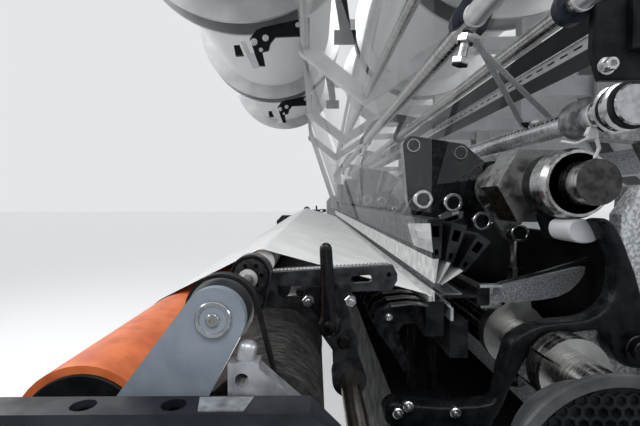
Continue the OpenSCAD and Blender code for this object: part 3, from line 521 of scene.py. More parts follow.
# Shaft guards: flared cowls of black sheet, each closed by a domed grille of six-sided holes.
# They stand on the bed just inside the end frames and are held by a flange that is riveted on.
guard_black = finish(
    "guard_black", ((0.005, 0.006, 0.007), (0.012, 0.013, 0.014), 50), 0.42, shine=0.1,
    grain=(900, 0.00008))
guard_grey = finish(
    "guard_grey", ((0.045, 0.048, 0.05), (0.08, 0.083, 0.086), 50), 0.4, shine=0.2,
    grain=(700, 0.00008))
cowl_profile = [
    (58, 0), (66, 18), (76, 36), (83, 47), (84.5, 52), (83.5, 54.5), (80, 54.5), (75, 54),
    (75, 52), (80, 50), (64, 18), (58, 0),
]
turned_ends("guard_cowls", cowl_profile, 1745, *cowl_axis, 64)
plate_ends("guard_cowls", [(24, -199.5), (78, -199.5), (72, -150), (30, -150)], 1748, 1772, 2)
grille_verts, grille_faces = piles["guard_grilles"]
grille_radius, cell = 76.5, 9.4
hole = cell * 0.43
dome_height, dome_spread = 9, 6000
for side in (-1, 1):
    for i in range(-9, 10):
        for j in range(-10, 11):
            cy, cz = cell * (i + (j % 2) / 2), cell * j * math.sqrt(3) / 2
            if math.hypot(cy, cz) > grille_radius - cell / 2:
                continue
            first = len(grille_verts)
            for r, drop in ((cell / math.sqrt(3), 0), (hole, 0), (hole, 2)):
                for k in range(6):
                    turn = math.pi / 6 + k * math.pi / 3
                    y, z = cy + r * math.cos(turn), cz + r * math.sin(turn)
                    out = 1796.5 + dome_height * (1 - (y * y + z * z) / dome_spread) - drop
                    grille_verts.append(at(side * out, cowl_axis[0] + y, cowl_axis[1] + z))
            for ring in (first, first + 6):
                for k in range(6):
                    after = (k + 1) % 6
                    wall = (ring + k, ring + after, ring + 6 + after, ring + 6 + k)
                    grille_faces.append(wall)
grille_rim = [(70, -1), (grille_radius, -1.2), (grille_radius, -2.2), (70, -2)]
turned_ends("guard_grilles", grille_rim, 1797.5, *cowl_axis, 64)
guard_cowls = piece("guard_cowls", guard_grey)
piece("guard_grilles", guard_black, smooth=20)
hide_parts("shaft_guard")

# Shafts and rods.
# The rocker shafts, rods and links are ground and polished steel, with turning marks on their ends.
polished = finish(
    "polished_steel", ((0.29, 0.28, 0.265), (0.45, 0.45, 0.44), 40, 4, (7, 0.6, 0.6)),
    (0.14, 0.30, 50, (6, 0.8, 0.8)), metal=1.0)
shafts = ["guide_shaft", "rocker_shaft", "yarn_rods", "tension_rods", "temple_shaft", "drive_links"]
dress(shafts, polished)
rail_steel = finish(
    "rail_steel", ((0.24, 0.19, 0.15), (0.46, 0.41, 0.36), 30, 4, (2, 1, 1)), 0.26, metal=1.0)
dress(["temple_rail"], rail_steel)

# Castings and collars of the guide-bar rocker.
# The hangers are blasted castings with dark enamelled webs. The clamps are turned and milled steel,
# bright on top and dark brown on their faces that look down.
blasted = finish(
    "blasted_casting", ((0.12, 0.125, 0.13), (0.30, 0.31, 0.32), 110, 4), 0.42, metal=0.7,
    grain=(700, 0.0004))
cut_edge = finish("cut_edge", ((0.50, 0.51, 0.52), (0.70, 0.71, 0.72), 120), 0.24, metal=1.0)
dress(["tube_brackets", "hangers"], blasted, 0.003, cut_edge)
bare_steel = finish(
    "bare_steel", ((0.40, 0.40, 0.39), (0.52, 0.52, 0.51), 160, 3, (0.3, 3, 3)), (0.28, 0.44, 80),
    metal=1.0)
dress(["shaft_clamps"], bare_steel, 0.0014, cut_edge)
dress(["main_shaft"], bare_steel, 0.001, cut_edge)
web_black = finish(
    "web_black", ((0.006, 0.007, 0.008), (0.018, 0.019, 0.021), 60), (0.14, 0.3, 60), shine=0.2,
    grain=(300, 0.00015))
underside_brown = finish(
    "underside_brown", ((0.040, 0.032, 0.026), (0.095, 0.078, 0.062), 120, 5, (0.4, 4, 4)),
    (0.2, 0.42, 120), metal=0.9)
dark_end = finish(
    "dark_end", ((0.040, 0.038, 0.037), (0.085, 0.082, 0.080), 90, 5), (0.18, 0.36, 140), metal=1.0)


def paint_where(name, made, test):
    """Paints those faces of a piece of the frame whose centre and normal pass the test."""
    mesh = nodes[name].data
    mesh.materials.append(made)
    count = len(mesh.polygons)
    centres = np.empty(count * 3)
    normals = np.empty(count * 3)
    index = np.empty(count, np.int32)
    mesh.polygons.foreach_get("center", centres)
    mesh.polygons.foreach_get("normal", normals)
    mesh.polygons.foreach_get("material_index", index)
    centres = (centres.reshape(-1, 3) - np.array(line)) * 1000
    index[test(centres, normals.reshape(-1, 3))] = len(mesh.materials) - 1
    mesh.polygons.foreach_set("material_index", index)


def from_places(centres, places, shift=0):
    """How far along the machine each centre lies from the nearest of some places, shifted."""
    return np.min([abs(centres[:, 0] - x - shift) for x in places], axis=0)


def from_axis(centres, axis):
    """How far each centre lies from an axis along the machine."""
    return np.hypot(centres[:, 1] - axis[0], centres[:, 2] - axis[1])


blued = finish(
    "blued_steel", ((0.012, 0.013, 0.016), (0.040, 0.042, 0.047), 40), (0.26, 0.46, 70), metal=0.6,
    shine=0.2)

# Bearings of the guide shaft: a ground ring against each neck or bracket, on a short black leg.
# The ring's face is recessed, and its well round the shaft is painted dark as shade.
ring_steel = finish(
    "ring_steel", ((0.38, 0.38, 0.38), (0.54, 0.54, 0.54), 60, 3, (0.5, 3, 3)), (0.2, 0.36, 90),
    metal=1.0)
ring_profile = [
    (29, 0), (45, 0), (46, 1), (46, 26), (45.2, 27), (45.2, 28.2), (44.4, 29), (42.5, 36),
    (39, 36),
]
leg_outline = [(139, 112), (191, 112), (186, 92), (180, 76), (152, 76), (146, 92)]
block_outline = [(150, 106), (182, 106), (188, 92), (180, 76), (152, 76), (144, 92)]
for start, way in ((1526, 1), (-1526, -1), (-720, 1), (30, 1), (780, 1)):
    base = at(start, *guide_axis)
    at_end = abs(start) > 1000
    turned("bearing_rings", ring_profile, base, (way, 0, 0), 64)
    turned("bearing_wells", [(39, 36), (34, 31), (33, 29), (28.1, 29)], base, (way, 0, 0), 64)
    leg_start = start + way * (-24 if at_end else 2)
    plate("bearing_legs", leg_outline, leg_start, leg_start + way * 22, 1.5)
    if at_end:
        turned("bearing_legs", [(28.3, -25), (44, -25), (44, 1), (28.3, 1)], base, (way, 0, 0), 48)
        plate("bearing_blocks", cast_round(block_outline), start, way * 1573, 1.5)
bearing_ring_set = piece("bearing_rings", ring_steel)
piece("bearing_wells", dark_end)
piece("bearing_legs", black_enamel)
piece("bearing_blocks", light_paint, smooth=25)
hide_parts("guide_bearings")

# Faces and screws of the rocker's castings.
# The hangers' webs are enamelled black and their pins' ends carry socket screws in bright rings.
web_faces = [x + half for x in hanger_places for half in (-13, 13)]
disc_shift, clamp_shift = 33.5, 88


def faces_end(n):
    """Whether each normal looks along the machine."""
    return abs(n[:, 0]) > 0.9


paint_where("hangers", web_black, lambda c, n: faces_end(n) & (from_places(c, web_faces) < 0.4))
# The clamps' faces that look down are painted dark brown.
paint_where("shaft_clamps", underside_brown, lambda c, n: n[:, 2] < -0.3)
paint_where(
    "shaft_clamps", blued,
    lambda c, n: (abs(n[:, 0]) < 0.9) & (from_places(c, hanger_places, disc_shift) < 20))
paint_where(
    "shaft_clamps", web_black,
    lambda c, n: faces_end(n) & (from_places(c, hanger_places, clamp_shift) < 60))
paint_where("guide_shaft", dark_end, lambda c, n: faces_end(n))
along = (1, 0, 0)
web_ring = [(11.6, 6), (11.6, 9), (12.4, 9.8), (15.4, 9.8), (16.6, 8.6), (16.8, 0)]
web_lip = [(11.2, 8.6), (11.2, 9.9), (12.4, 9.9), (12.4, 8.6)]
pin_ring = [(11.6, 0), (11.6, 9), (12.4, 9.8), (16.2, 9.8), (17.4, 8.6), (17.4, 1.2), (16.4, 0)]
link_ring = [(11.6, 0), (11.6, 5), (12.2, 5.6), (14.8, 5.6), (15.6, 4.8), (15.6, 0)]
for x in hanger_places:
    for y, z in ((113, 222), (21, 236)):
        turned("boss_dark_rings", web_ring, at(x + 13, y, z), along, 32)
        turned("boss_rings", web_lip, at(x + 13, y, z), along, 32)
        cap_screw("boss_screws", at(x + 21.4, y, z), along, 11.1, 1.2)
    for y, z in ((29, 131), (84, 125), (138, 91)):
        turned("boss_rings", pin_ring, at(x + 60, y, z), along, 32)
        cap_screw("boss_screws", at(x + 67.4, y, z), along, 11.5, 2)
    turned("boss_rings", link_ring, at(x + 104, 189, 72), along, 32)
    cap_screw("boss_screws", at(x + 105.2, 189, 72), along, 11.5, 3.6)
piece("boss_rings", cut_edge, "guide_rocker")
piece("boss_screws", web_black, "guide_rocker")
piece("boss_dark_rings", web_black, "guide_rocker")

# Fin levers of the sinker rocker: forged levers, four along the shaft, clamped to the sinker bar.
# They have a speckled grey hammer finish, a black strip above the blade and a bright clamp.
fin_speckle = finish(
    "fin_speckle", ((0.11, 0.115, 0.13), (0.42, 0.43, 0.46), 700, 2, (1, 1, 1), 0.42, 0.6), 0.38,
    metal=0.3, grain=(700, 0.0004))
dress(["fin_levers"], fin_speckle, 0.003)
collar_radius = 46.8
paint_where("fin_levers", bare_steel, lambda c, n: from_axis(c, rocker_axis) < collar_radius)
strip_outline = [(92, 3), (94, 7), (170, 27), (244, 50), (248, 46), (246, 42), (172, 21)]
clamp_outline = [
    (64, 10), (96, 10), (97, 6), (83, 5), (81, -18), (95, -19), (94, -24), (66, -24), (65, -20),
    (77.9, -19.4), (77.9, 5.2), (64, 5.2),
]
for x in (-1490, -895, 905, 1480):
    plate("lever_strips", strip_outline, x - 6, x + 2, 0.8)
    plate("bar_clamps", clamp_outline, x + 11, x + 21, 0.8)
piece("lever_strips", web_black, "sinker_rocker")
piece("bar_clamps", cut_edge, "sinker_rocker")

# Guide bars, needle bar, tongue bar and sinker bar.
# The bars are hollow sections in a dark blued finish. The leads that hold guides and needles are
# cast round them in a pale tin alloy, two to the inch.
bar_edge = finish("bar_edge", ((0.16, 0.165, 0.18), (0.40, 0.41, 0.43), 90), 0.3, metal=0.9)
bars = ["front_bar", "middle_bar", "rear_bar", "needle_bar", "tongue_bar", "sinker_bar"]
dress(bars, blued, 0.0006, bar_edge)
lead_alloy = finish(
    "lead_alloy", ((0.55, 0.56, 0.56), (0.80, 0.81, 0.80), 50), 0.38, metal=0.35,
    grain=(600, 0.0001))
guide_bars = (("front_bar", (1, 75), -3), ("middle_bar", (27, 69), 15), ("rear_bar", (54, 54), 35))
lead_top, lead_end = 28.3, 1501


def in_leads(c):
    """Whether each centre lies below the foot of a guide bar, where its leads are."""
    below = (c[:, 1] - centre[0]) * down[0] + (c[:, 2] - centre[1]) * down[1]
    return (below > lead_top) & (abs(c[:, 0]) < lead_end)


for name, centre, tilt in guide_bars:
    down = (-math.sin(math.radians(tilt)), -math.cos(math.radians(tilt)))
    paint_where(name, lead_alloy, lambda c, n: in_leads(c))
paint_where("needle_bar", lead_alloy, lambda c, n: c[:, 2] > -13.9)
paint_where("tongue_bar", lead_alloy, lambda c, n: (c[:, 2] > -41.9) & (c[:, 1] < 30))

# End plate of the front guide bar: a pale cast plate that closes the row of leads at each end.
# It has a raised square step and is held by a small screw.
plate_ends("bar_end_plates", [(-40, 97), (-8, 97), (-4, 56), (-31, 66)], 1500.4, 1504, 0.6)
plate_ends("bar_end_plates", [(-30, 88), (-20, 88), (-16, 74), (-26, 76)], 1503, 1505, 0.4)
piece("bar_end_plates", lead_alloy, "front_bar")

# Brackets of the needle bar: a row of forged arms bolted along its front, one beside the other.
# They are blackened and oily, each with a screw and a washer. Between them, bright strips of cut
# steel along their tops are painted highlights.
forged_black = finish(
    "forged_black", ((0.006, 0.007, 0.008), (0.032, 0.033, 0.036), 90, 5), (0.18, 0.42, 110),
    metal=0.5, shine=0.15, grain=(420, 0.0002))
arm_outline = [
    (-13, -20), (-34, -17), (-62, -20), (-80, -30), (-86, -46), (-78, -64), (-62, -84),
    (-50, -104), (-42, -118), (-33, -116), (-34, -100), (-44, -80), (-50, -62), (-44, -50),
    (-30, -48), (-13, -52),
]
arm_screw = [
    (5.5, 0), (5.5, 1.2), (4.2, 1.4), (4.2, 4.6), (3.4, 5.2), (-2.2, 5.2), (-2.2, 3), (0, 3)]
arm_top_highlight = [(-13, -16.5), (-36, -13.5), (-64, -16.5), (-64, -18.5), (-36, -15.5), (-13, -18.5)]
for x in range(-1480, 1481, 40):
    plate("needle_bar_arms", arm_outline, x, x + 13, 1.6)
    turned("needle_bar_arm_screws", arm_screw, at(x + 13, -64, -38), along, 12)
    # A bright strip beside each arm is a painted highlight.
    plate("needle_bar_arm_screws", arm_top_highlight, x + 17, x + 33)
piece("needle_bar_arms", forged_black, "needle_bar", 20)
piece("needle_bar_arm_screws", cut_edge, "needle_bar")

# Guides, needles, tongues and sinkers.
# Thin hardened plates and wires stand in the leads, each ground bright. Only one in about five of
# the real ones is made, so that the rows stay light.
needle_steel = finish(
    "needle_steel", ((0.55, 0.56, 0.57), (0.72, 0.73, 0.74), 200), 0.22, metal=1.0)


def row_of(name, profile, pitch, thick, first, last):
    """Adds copies of a thin plate with a (y, z) outline, every pitch mm along the machine."""
    verts, faces = piles[name]
    n = len(profile)
    count = int((last - first) / pitch) + 1
    for i in range(count):
        x = first + i * pitch
        k = len(verts)
        for dx in (0, thick):
            verts.extend(at(x + dx, y, z) for y, z in profile)
        faces.append(tuple(range(k + n - 1, k - 1, -1)))
        faces.append(tuple(range(k + n, k + 2 * n)))
        faces.extend((k + j, k + (j + 1) % n, k + n + (j + 1) % n, k + n + j) for j in range(n))


gauge = 4.4
for body, foot, tip in (
        ("front_bar", (-0.2, 13), (-1.2, 3.2)),
        ("middle_bar", (5, 13), (3.4, 4.2)),
        ("rear_bar", (10, 11), (7.6, 5.2))):
    blade = [(foot[0] - 0.5, foot[1]), (tip[0] - 0.4, tip[1])]
    blade += [(tip[0] + 0.4, tip[1]), (foot[0] + 0.5, foot[1])]
    row_of(f"{body}_guides", blade, gauge, 0.5, -1496, 1496)
    piece(f"{body}_guides", needle_steel, body, 0)
hook = [
    (-2.4, -3), (-1.0, -3), (-1.0, 1.4), (-1.9, 2.4), (-3.0, 1.6), (-2.7, 1.2), (-2.0, 1.6),
    (-1.6, 1.0)]
row_of("needle_hooks", hook, gauge, 0.6, -1495, 1496)
piece("needle_hooks", needle_steel, "needle_bar", 0)
tongue = [(23.5, -26), (26.5, -26), (26.0, -20), (5.0, -3.4), (4.0, -4.2)]
row_of("needle_tongues", tongue, 2 * gauge, 0.6, -1494, 1496)
piece("needle_tongues", needle_steel, "tongue_bar", 0)
sinker = [(16, -8.6), (6, -7), (5.2, -5.6), (9, -5.0), (16, -4.4), (40, -3), (40, -8.6)]
row_of("sinkers", sinker, gauge, 0.4, -1493, 1496)
piece("sinkers", needle_steel, "sinker_rocker", 0)

# Take-up rollers and the temples' clamp levers.
# The rubber roller is covered in orange rubber with a black end disc, and the emery roller is
# wrapped in dark abrasive tape. The spreader roller is a pale sleeve; the levers are black plastic.
orange = finish(
    "orange_rubber", ((0.60, 0.125, 0.035), (0.80, 0.20, 0.06), 40, 5), 0.5, grain=(500, 0.0002))
dress(["rubber_roller"], orange, 0.0015)
emery = finish(
    "emery_tape",
    ((0.008, 0.0078, 0.0075), (0.085, 0.082, 0.078), 90, 6, (5, 0.8, 0.8), 0.42, 0.72),
    (0.5, 0.85, 60), shine=0.2, grain=(1400, 0.0003))
dress(["emery_roller"], emery, 0.001)
sleeve = finish("pale_sleeve", ((0.64, 0.64, 0.62), (0.75, 0.75, 0.73), 30), 0.4)
dress(["spreader_roller"], sleeve, 0.0006)
dress(["take_up_belts"], black_rubber, 0.0006)
lever_gloss = finish(
    "lever_gloss", ((0.004, 0.004, 0.005), (0.009, 0.009, 0.010), 80), (0.10, 0.24, 90), shine=0.25)


def arc(radius, degrees, rise=0):
    """Points of an arc round (0, rise), one at each of some angles."""
    turns = [math.radians(a) for a in degrees]
    return [(radius * math.cos(turn), rise + radius * math.sin(turn)) for turn in turns]


lever_bend = math.radians(93)
lever_up = (math.cos(lever_bend), math.sin(lever_bend))
lever_out = (lever_up[1], -lever_up[0])
grip_side = [(9.4, 15), (8.6, 24), (8.0, 40), (7.4, 62), (7, 84)]
lever_form = arc(13.5, range(42, -223, -12)) + [(-a, b) for a, b in grip_side]
lever_form += arc(7, range(170, 0, -20), 86) + grip_side[::-1]
lever_outline = []
for a, b in lever_form:
    y, z = a * lever_out[0] + b * lever_up[0], a * lever_out[1] + b * lever_up[1]
    lever_outline.append((lever_axis[0] + y, lever_axis[1] + z))
lever_hub = [(12.4, 0), (12.4, 9), (0, 9)]
lever_cap = [(6.4, -1), (6.4, 1.4), (5.4, 2.8), (3, 3.6), (0, 3.8)]
grip_start, grip_end = 1615.6, 1629.6
for side, name in ((1, "near_lever"), (-1, "far_lever")):
    plate(f"{name}_handle", lever_outline, side * grip_start, side * grip_end, 5.4, 4)
    turned(f"{name}_handle", lever_hub, at(side * 1608, *lever_axis), (side, 0, 0), 32)
    grip = piece(f"{name}_handle", lever_gloss, name, 50)
    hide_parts(name)
    turned(f"{name}_cap", lever_cap, at(side * grip_end, *lever_axis), (side, 0, 0))
    piece(f"{name}_cap", black_oxide, name)
disc_profile = [(16, 0), (51, 0), (51, 2.2), (50, 3), (30, 3), (28, 1.6), (16, 1.6)]
turned_ends("roller_discs", disc_profile, 1765, *rubber_axis, 48)
for y, z in arc(40, (45, 135, 225, 315)):
    screw_ends("roller_discs", 1768, rubber_axis[0] + y, rubber_axis[1] + z, 4.5, 3)
piece("roller_discs", guard_black, "rubber_roller")

# Fabric: one knitted web from the knitting line over the spreader and both rollers to the batch.
# It is fine white filament tricot, stretched between the temples, with close upright wales.
cloth = finish(
    "tricot", ((0.72, 0.72, 0.71), (0.84, 0.84, 0.83), 14), 0.75,
    grain=(1400, 0.0003, (1, 0.25, 0.25)), sheen=0.3)


def heading(a, b):
    """Direction of the straight run that touches two rounds, each (centre, radius). The radius is
    positive where the path turns left."""
    dy, dz = b[0][0] - a[0][0], b[0][1] - a[0][1]
    return math.atan2(dz, dy) - math.asin((b[1] - a[1]) / math.hypot(dy, dz))


def path_round(rounds, step=12, lead_in=0):
    """Points of a path that bends round each (centre, radius) in turn, from tangent to tangent."""
    now = heading(rounds[0], rounds[1]) - math.copysign(math.radians(lead_in), rounds[0][1])
    points = []
    slack = math.radians(1)
    for i, (centre, r) in enumerate(rounds):
        then = heading(rounds[i], rounds[i + 1]) if i + 1 < len(rounds) else now
        if r > 0:
            end = now + (then - now + slack) % (2 * math.pi) - slack
        else:
            end = now - ((now - then + slack) % (2 * math.pi) - slack)
        steps = 0 if abs(r) < 0.01 else max(1, math.ceil(abs(end - now) / math.radians(step)))
        for k in range(steps + 1):
            u = now + (end - now) * k / max(steps, 1)
            points.append((centre[0] + r * math.sin(u), centre[1] - r * math.cos(u)))
        now = end
    return points


emery_axis, batch_axis = (-216, -70), (-400, -690)
rounds = [((-14, -2), 0.001), (spreader_axis, 18.1), (rubber_axis, 58.6)]
bends = path_round(rounds + [(emery_axis, -56.1), (batch_axis, -151.1)], 6)
longest_step = 25
web = []
for a, b in zip(bends, bends[1:]):
    parts = max(1, math.ceil(math.dist(a, b) / longest_step))
    for k in range(parts):
        web.append((a[0] + (b[0] - a[0]) * k / parts, a[1] + (b[1] - a[1]) * k / parts))
web.append(bends[-1])
web_width, strips = 3010, 120
columns = [-web_width / 2 + web_width * i / strips for i in range(strips + 1)]
cloth_verts, cloth_faces = piles["tricot_web"]
for y, z in web:
    cloth_verts.extend(at(x, y, z) for x in columns)
for i in range(len(web) - 1):
    for j in range(strips):
        a = i * len(columns) + j
        cloth_faces.append((a, a + 1, a + len(columns) + 1, a + len(columns)))
fabric = piece("tricot_web", cloth, smooth=60)
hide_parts("fabric")
dress(["batch_roll"], cloth, 0)

# Warp sheets: fine white filaments from each beam, over the rods, down to the guides.
# One yarn in about three is made; the sheets open round the stands and the hangers, and the two
# behind are thinned near the ends, where the machine's end is seen through them.
yarn = finish("white_yarn", (0.86, 0.86, 0.86), 0.5, sheen=0.2)
stand_gaps = [(x, 64) for x in stand_places]
hanger_gaps = [(x, 22) for x in hanger_places]
yarn_pitch = 3
thin_beyond = 1228
yarn_half, yarn_top = 0.05, 0.06
over_beam, over_rod, at_guide = 346, 13.5, 0.001


def warp_sheet(name, node, rounds, gaps, thinned):
    """A sheet of three-sided yarns round some rounds, whose last round lies at the guides."""
    path = path_round(rounds, 15, 4)
    n = len(path)
    across = []
    for i in range(n):
        a, b = path[max(i - 1, 0)], path[min(i + 1, n - 1)]
        run = math.dist(a, b)
        across.append((-(b[1] - a[1]) / run, (b[0] - a[0]) / run))
    verts, faces = piles[name]
    for k in range(993):
        x = -1490 + k * yarn_pitch
        left_out = thinned and abs(x) > thin_beyond and k % 2
        if left_out or any(abs(x - gap) < half for gap, half in gaps):
            continue
        first = len(verts)
        for (y, z), (ny, nz) in zip(path, across):
            for side in (-yarn_half, yarn_half):
                verts.append(at(x + side, y - yarn_half * ny, z - yarn_half * nz))
            verts.append(at(x, y + yarn_top * ny, z + yarn_top * nz))
        for i in range(n - 1):
            for j in range(3):
                a, b = first + 3 * i + j, first + 3 * i + (j + 1) % 3
                faces.append((a, b, b + 3, a + 3))
        faces.append((first + 2, first + 1, first))
        faces.append((first + 3 * n - 3, first + 3 * n - 2, first + 3 * n - 1))
    sheet = piece(name, yarn, None, 0)
    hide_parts(node)
    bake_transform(sheet)


front_way = [(beam_axes["front_beam"], -over_beam), ((-205, 670), over_rod)]
warp_sheet("front_warp", "front_sheet", front_way + [((-14, 60), at_guide)], stand_gaps, False)
middle_way = [(beam_axes["middle_beam"], over_beam), ((13, 500), over_rod), (rod_axes[0], over_rod)]
warp_sheet("middle_warp", "middle_sheet", middle_way + [((-3, 112), at_guide)], stand_gaps, True)
rear_way = [(beam_axes["rear_beam"], over_beam), ((290, 680), over_rod), (rod_axes[1], over_rod)]
rear_way.append(((66, 160), at_guide))
warp_sheet("rear_warp", "rear_sheet", rear_way, stand_gaps + hanger_gaps, True)

# Warp beams: three sections each on a through shaft.
# The flanges are spun aluminium; the wound yarn is white, with a silky lengthwise sheen.
flange_alloy = finish("flange_alloy", ((0.54, 0.55, 0.56), (0.66, 0.67, 0.68), 10), 0.34, metal=0.9)
wound = finish(
    "wound_yarn", ((0.74, 0.74, 0.74), (0.86, 0.86, 0.86), 300, 3, (3, 0.05, 0.05)), 0.5,
    grain=(1600, 0.0003, (1, 0.05, 0.05)))
dress(beam_axes, flange_alloy, 0.002)
drum_radius = 225


def is_wound(c, n):
    """Whether each face is on the yarn of a beam, between its drum and the top turn."""
    far = from_axis(c, axis)
    return (far < over_beam) & (far > drum_radius) & (abs(n[:, 0]) < 0.5)


for name, axis in beam_axes.items():
    paint_where(name, wound, is_wound)

# Brake of the front beam: an arm on each inner stand that holds a pad below the flange.
# The arm is black cast iron; the pad's carrier and adjusting strip are pale, with turned studs.
brake_outline = [
    (-190, 660), (-188, 768), (-214, 776), (-232, 760), (-356, 732), (-376, 722), (-398, 692),
    (-384, 652), (-368, 600), (-344, 600), (-354, 648), (-332, 654), (-326, 678), (-308, 700),
    (-222, 704),
]
pad_outline = [(-452, 666), (-432, 668), (-418, 634), (-446, 632)]
carrier_outline = [(-430, 682), (-414, 682), (-372, 594), (-388, 592)]
adjuster_outline = [(-398, 640), (-380, 640), (-364, 596), (-386, 592)]
dress(["brake_arms"], guard_black, 0.001)
for x in (-524, 576):
    plate("beam_brake_arms", brake_outline, x, x + 14, 1.5)
    plate("beam_brake_arms", pad_outline, x + 4, x + 24, 1.5)
    plate("beam_brake_pads", carrier_outline, x + 2, x + 18, 1)
    plate("beam_brake_pads", adjuster_outline, x + 8, x + 22, 1)
    for y, z, r in ((-382, 680, 12), (-342, 694, 11), (-358, 653, 7), (-230, 740, 8)):
        stud = [(r, 0), (r, 5), (r - 1.5, 6), (-r * 0.5, 6), (-r * 0.5, 4), (0, 4)]
        turned("beam_brake_pads", stud, at(x + 14, y, z), along)
piece("beam_brake_arms", guard_black, smooth=30)
piece("beam_brake_pads", light_paint)

# Tension rods' hooks, the rail behind them and the feet.
# The hooks are cut from plate and finished blue-black, each with a bright screw under its rod.
hook_blue = finish(
    "hook_blue", ((0.007, 0.010, 0.018), (0.018, 0.023, 0.036), 50), 0.36, shine=0.15)
dress(["rod_hooks"], hook_blue, 0.002)
dress(["hook_rail", "feet"], guard_black, 0.001)
hook_screw = [(-11, 0), (-11, 8), (-10, 9), (5.5, 9), (5.5, 27), (-10, 27), (-11, 28), (-11, 34)]
hook_screw += [(-10, 35), (0, 35)]
for x in (-1590, -550, 550, 1590):
    turned("hook_screws", hook_screw, at(x, 10, 324), (0, -0.25, -1))
piece("hook_screws", chrome)

# Rods' ends: the tension rods run on past their hooks, as plain tubes with a turned joint.
# A flat plug closes each, dark with handling.
rod_end = [(12.6, 0), (13.6, 0.6), (13.6, 4), (12.6, 4.6), (12.6, 118), (11.8, 119), (11, 119)]
for axis in rod_axes:
    turned_ends("rod_ends", rod_end, 1612, *axis, 40)
    turned_ends("rod_plugs", [(11, 119), (11, 117), (0, 117)], 1612, *axis, 40)
tube_grey = finish("tube_grey", ((0.44, 0.445, 0.45), (0.60, 0.605, 0.61), 30), 0.34, metal=0.75)
piece("rod_ends", tube_grey)
piece("rod_plugs", dark_end)

# Rail's facing: a pale alloy strip with a row of short slots, under a bright drawn edge.
# It is screwed along the front of the rail and shows where the yarn leads may be hung.
plate("facing_strip", [(259.5, 369), (259.5, 386), (262, 386), (262, 369)], -1600, 1596, 0.4)
turned("facing_edge", [(2.2, -1600), (2.2, 1598)], at(0, 258.6, 388), along, 12)
# The slots are black patches on the strip, painted as the shade in them.
for x in range(-1560, 1561, 40):
    plate("facing_slots", [(259, 376), (259, 379), (259.8, 379), (259.8, 376)], x - 11, x + 11)
piece("facing_strip", tube_grey)
piece("facing_edge", cut_edge)
piece("facing_slots", guard_black)

# Brackets at the ends of the rail: black castings that come down in front of the tube's ends.
# Each is bolted to the rail and carries one zinc-plated screw with a wide washer.
bracket_outline = [
    (262, 428), (236, 428), (150, 372), (148, 300), (158, 268), (214, 268), (226, 300), (262, 330),
]
step_outline = [(186, 300), (186, 360), (236, 392), (244, 340), (216, 300)]
rail_screw = [(10, 0), (10, 1.6), (7.5, 2), (7.5, 12), (6.6, 13), (-4.4, 13), (-4.4, 8), (0, 8)]
plate_ends("rail_brackets", bracket_outline, 1598, 1610, 2)
plate_ends("rail_brackets", step_outline, 1610, 1622, 2)
turned_ends("rail_screws", rail_screw, 1610, 163, 283)
piece("rail_brackets", guard_black, smooth=30)
piece("rail_screws", bright_zinc)

# Slotted tube above the rocker: a bright drawn tube, slotted at close pitch along its front.
# Its ends run into chromed collars with two black rings; small clamp blocks hold it near each end.
tube_alloy = finish(
    "tube_alloy", ((0.50, 0.52, 0.54), (0.70, 0.72, 0.74), 24), (0.18, 0.36, 60, (3, 1, 1)),
    metal=0.7)
tube_verts, tube_faces = piles["perforated_tube"]
slot_pitch, slot_half, tube_radius, sides = 12, 3.5, 16, 28
slot_turn = math.radians(150 - 180 / sides)
stations = [-1598]
for i in range(-131, 132):
    stations.extend((slot_pitch * i - slot_half, slot_pitch * i + slot_half))
stations.append(1598)
for x in stations:
    for k in range(sides):
        turn = slot_turn + 2 * math.pi * k / sides
        y, z = tube_radius * math.cos(turn), tube_radius * math.sin(turn)
        tube_verts.append(at(x, tube_axis[0] + y, tube_axis[1] + z))
for i in range(len(stations) - 1):
    for k in range(sides):
        if k == 0 and i % 2 == 1:
            continue
        a, b = i * sides + k, i * sides + (k + 1) % sides
        tube_faces.append((a, b, b + sides, a + sides))
perforated_tube = piece("perforated_tube", tube_alloy, smooth=40)
# The black tube inside is painted shade, for the dark inside of the tube seen through the slots.
turned("tube_inside_shade", [(14, -1600), (14, 1600)], at(0, *tube_axis), along, 28)
piece("tube_inside_shade", guard_black)
collar_swell = 1.12
collar = [
    (14.5, 0), (17.5, 0), (19.5, 2), (20, 6), (20, 10), (21.5, 12), (24, 13), (24, 18),
    (21.5, 19), (20, 20), (20, 26), (21.5, 27), (24, 28), (24, 33), (21.5, 34), (20, 36),
    (20, 47), (18.5, 49), (14, 49),
]
turned_ends("tube_collars", [(r * collar_swell, h) for r, h in collar], 1600, *tube_axis, 48)
black_ring = [(22.2, 0), (25.6, 0.8), (26, 2.5), (25.6, 4.2), (22.2, 5)]
for x in (1622, 1639):
    turned_ends("tube_rings", black_ring, x, *tube_axis, 48)
turned_ends("tube_rings", [(16.2, 0), (16.8, 0), (16.8, 1.4), (16.2, 1.4)], 1548, *tube_axis, 40)
piece("tube_collars", chrome)
piece("tube_rings", black_rubber)
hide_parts("slotted_tube")
tube_block = [(152, 238), (158, 250), (168, 252), (172, 247), (163, 244), (156, 236)]
block_screw = [(4.4, -2), (4.4, 5), (3.4, 6), (2.2, 6), (2.2, 10), (0, 10.5)]
plate_ends("tube_blocks", tube_block, 1440, 1454, 0.8)
for side in (-1, 1):
    turned("tube_block_screws", block_screw, at(side * 1447, 155, 244), (0, -1, 0.3), 14)
piece("tube_blocks", bright_zinc)
piece("tube_block_screws", black_oxide)

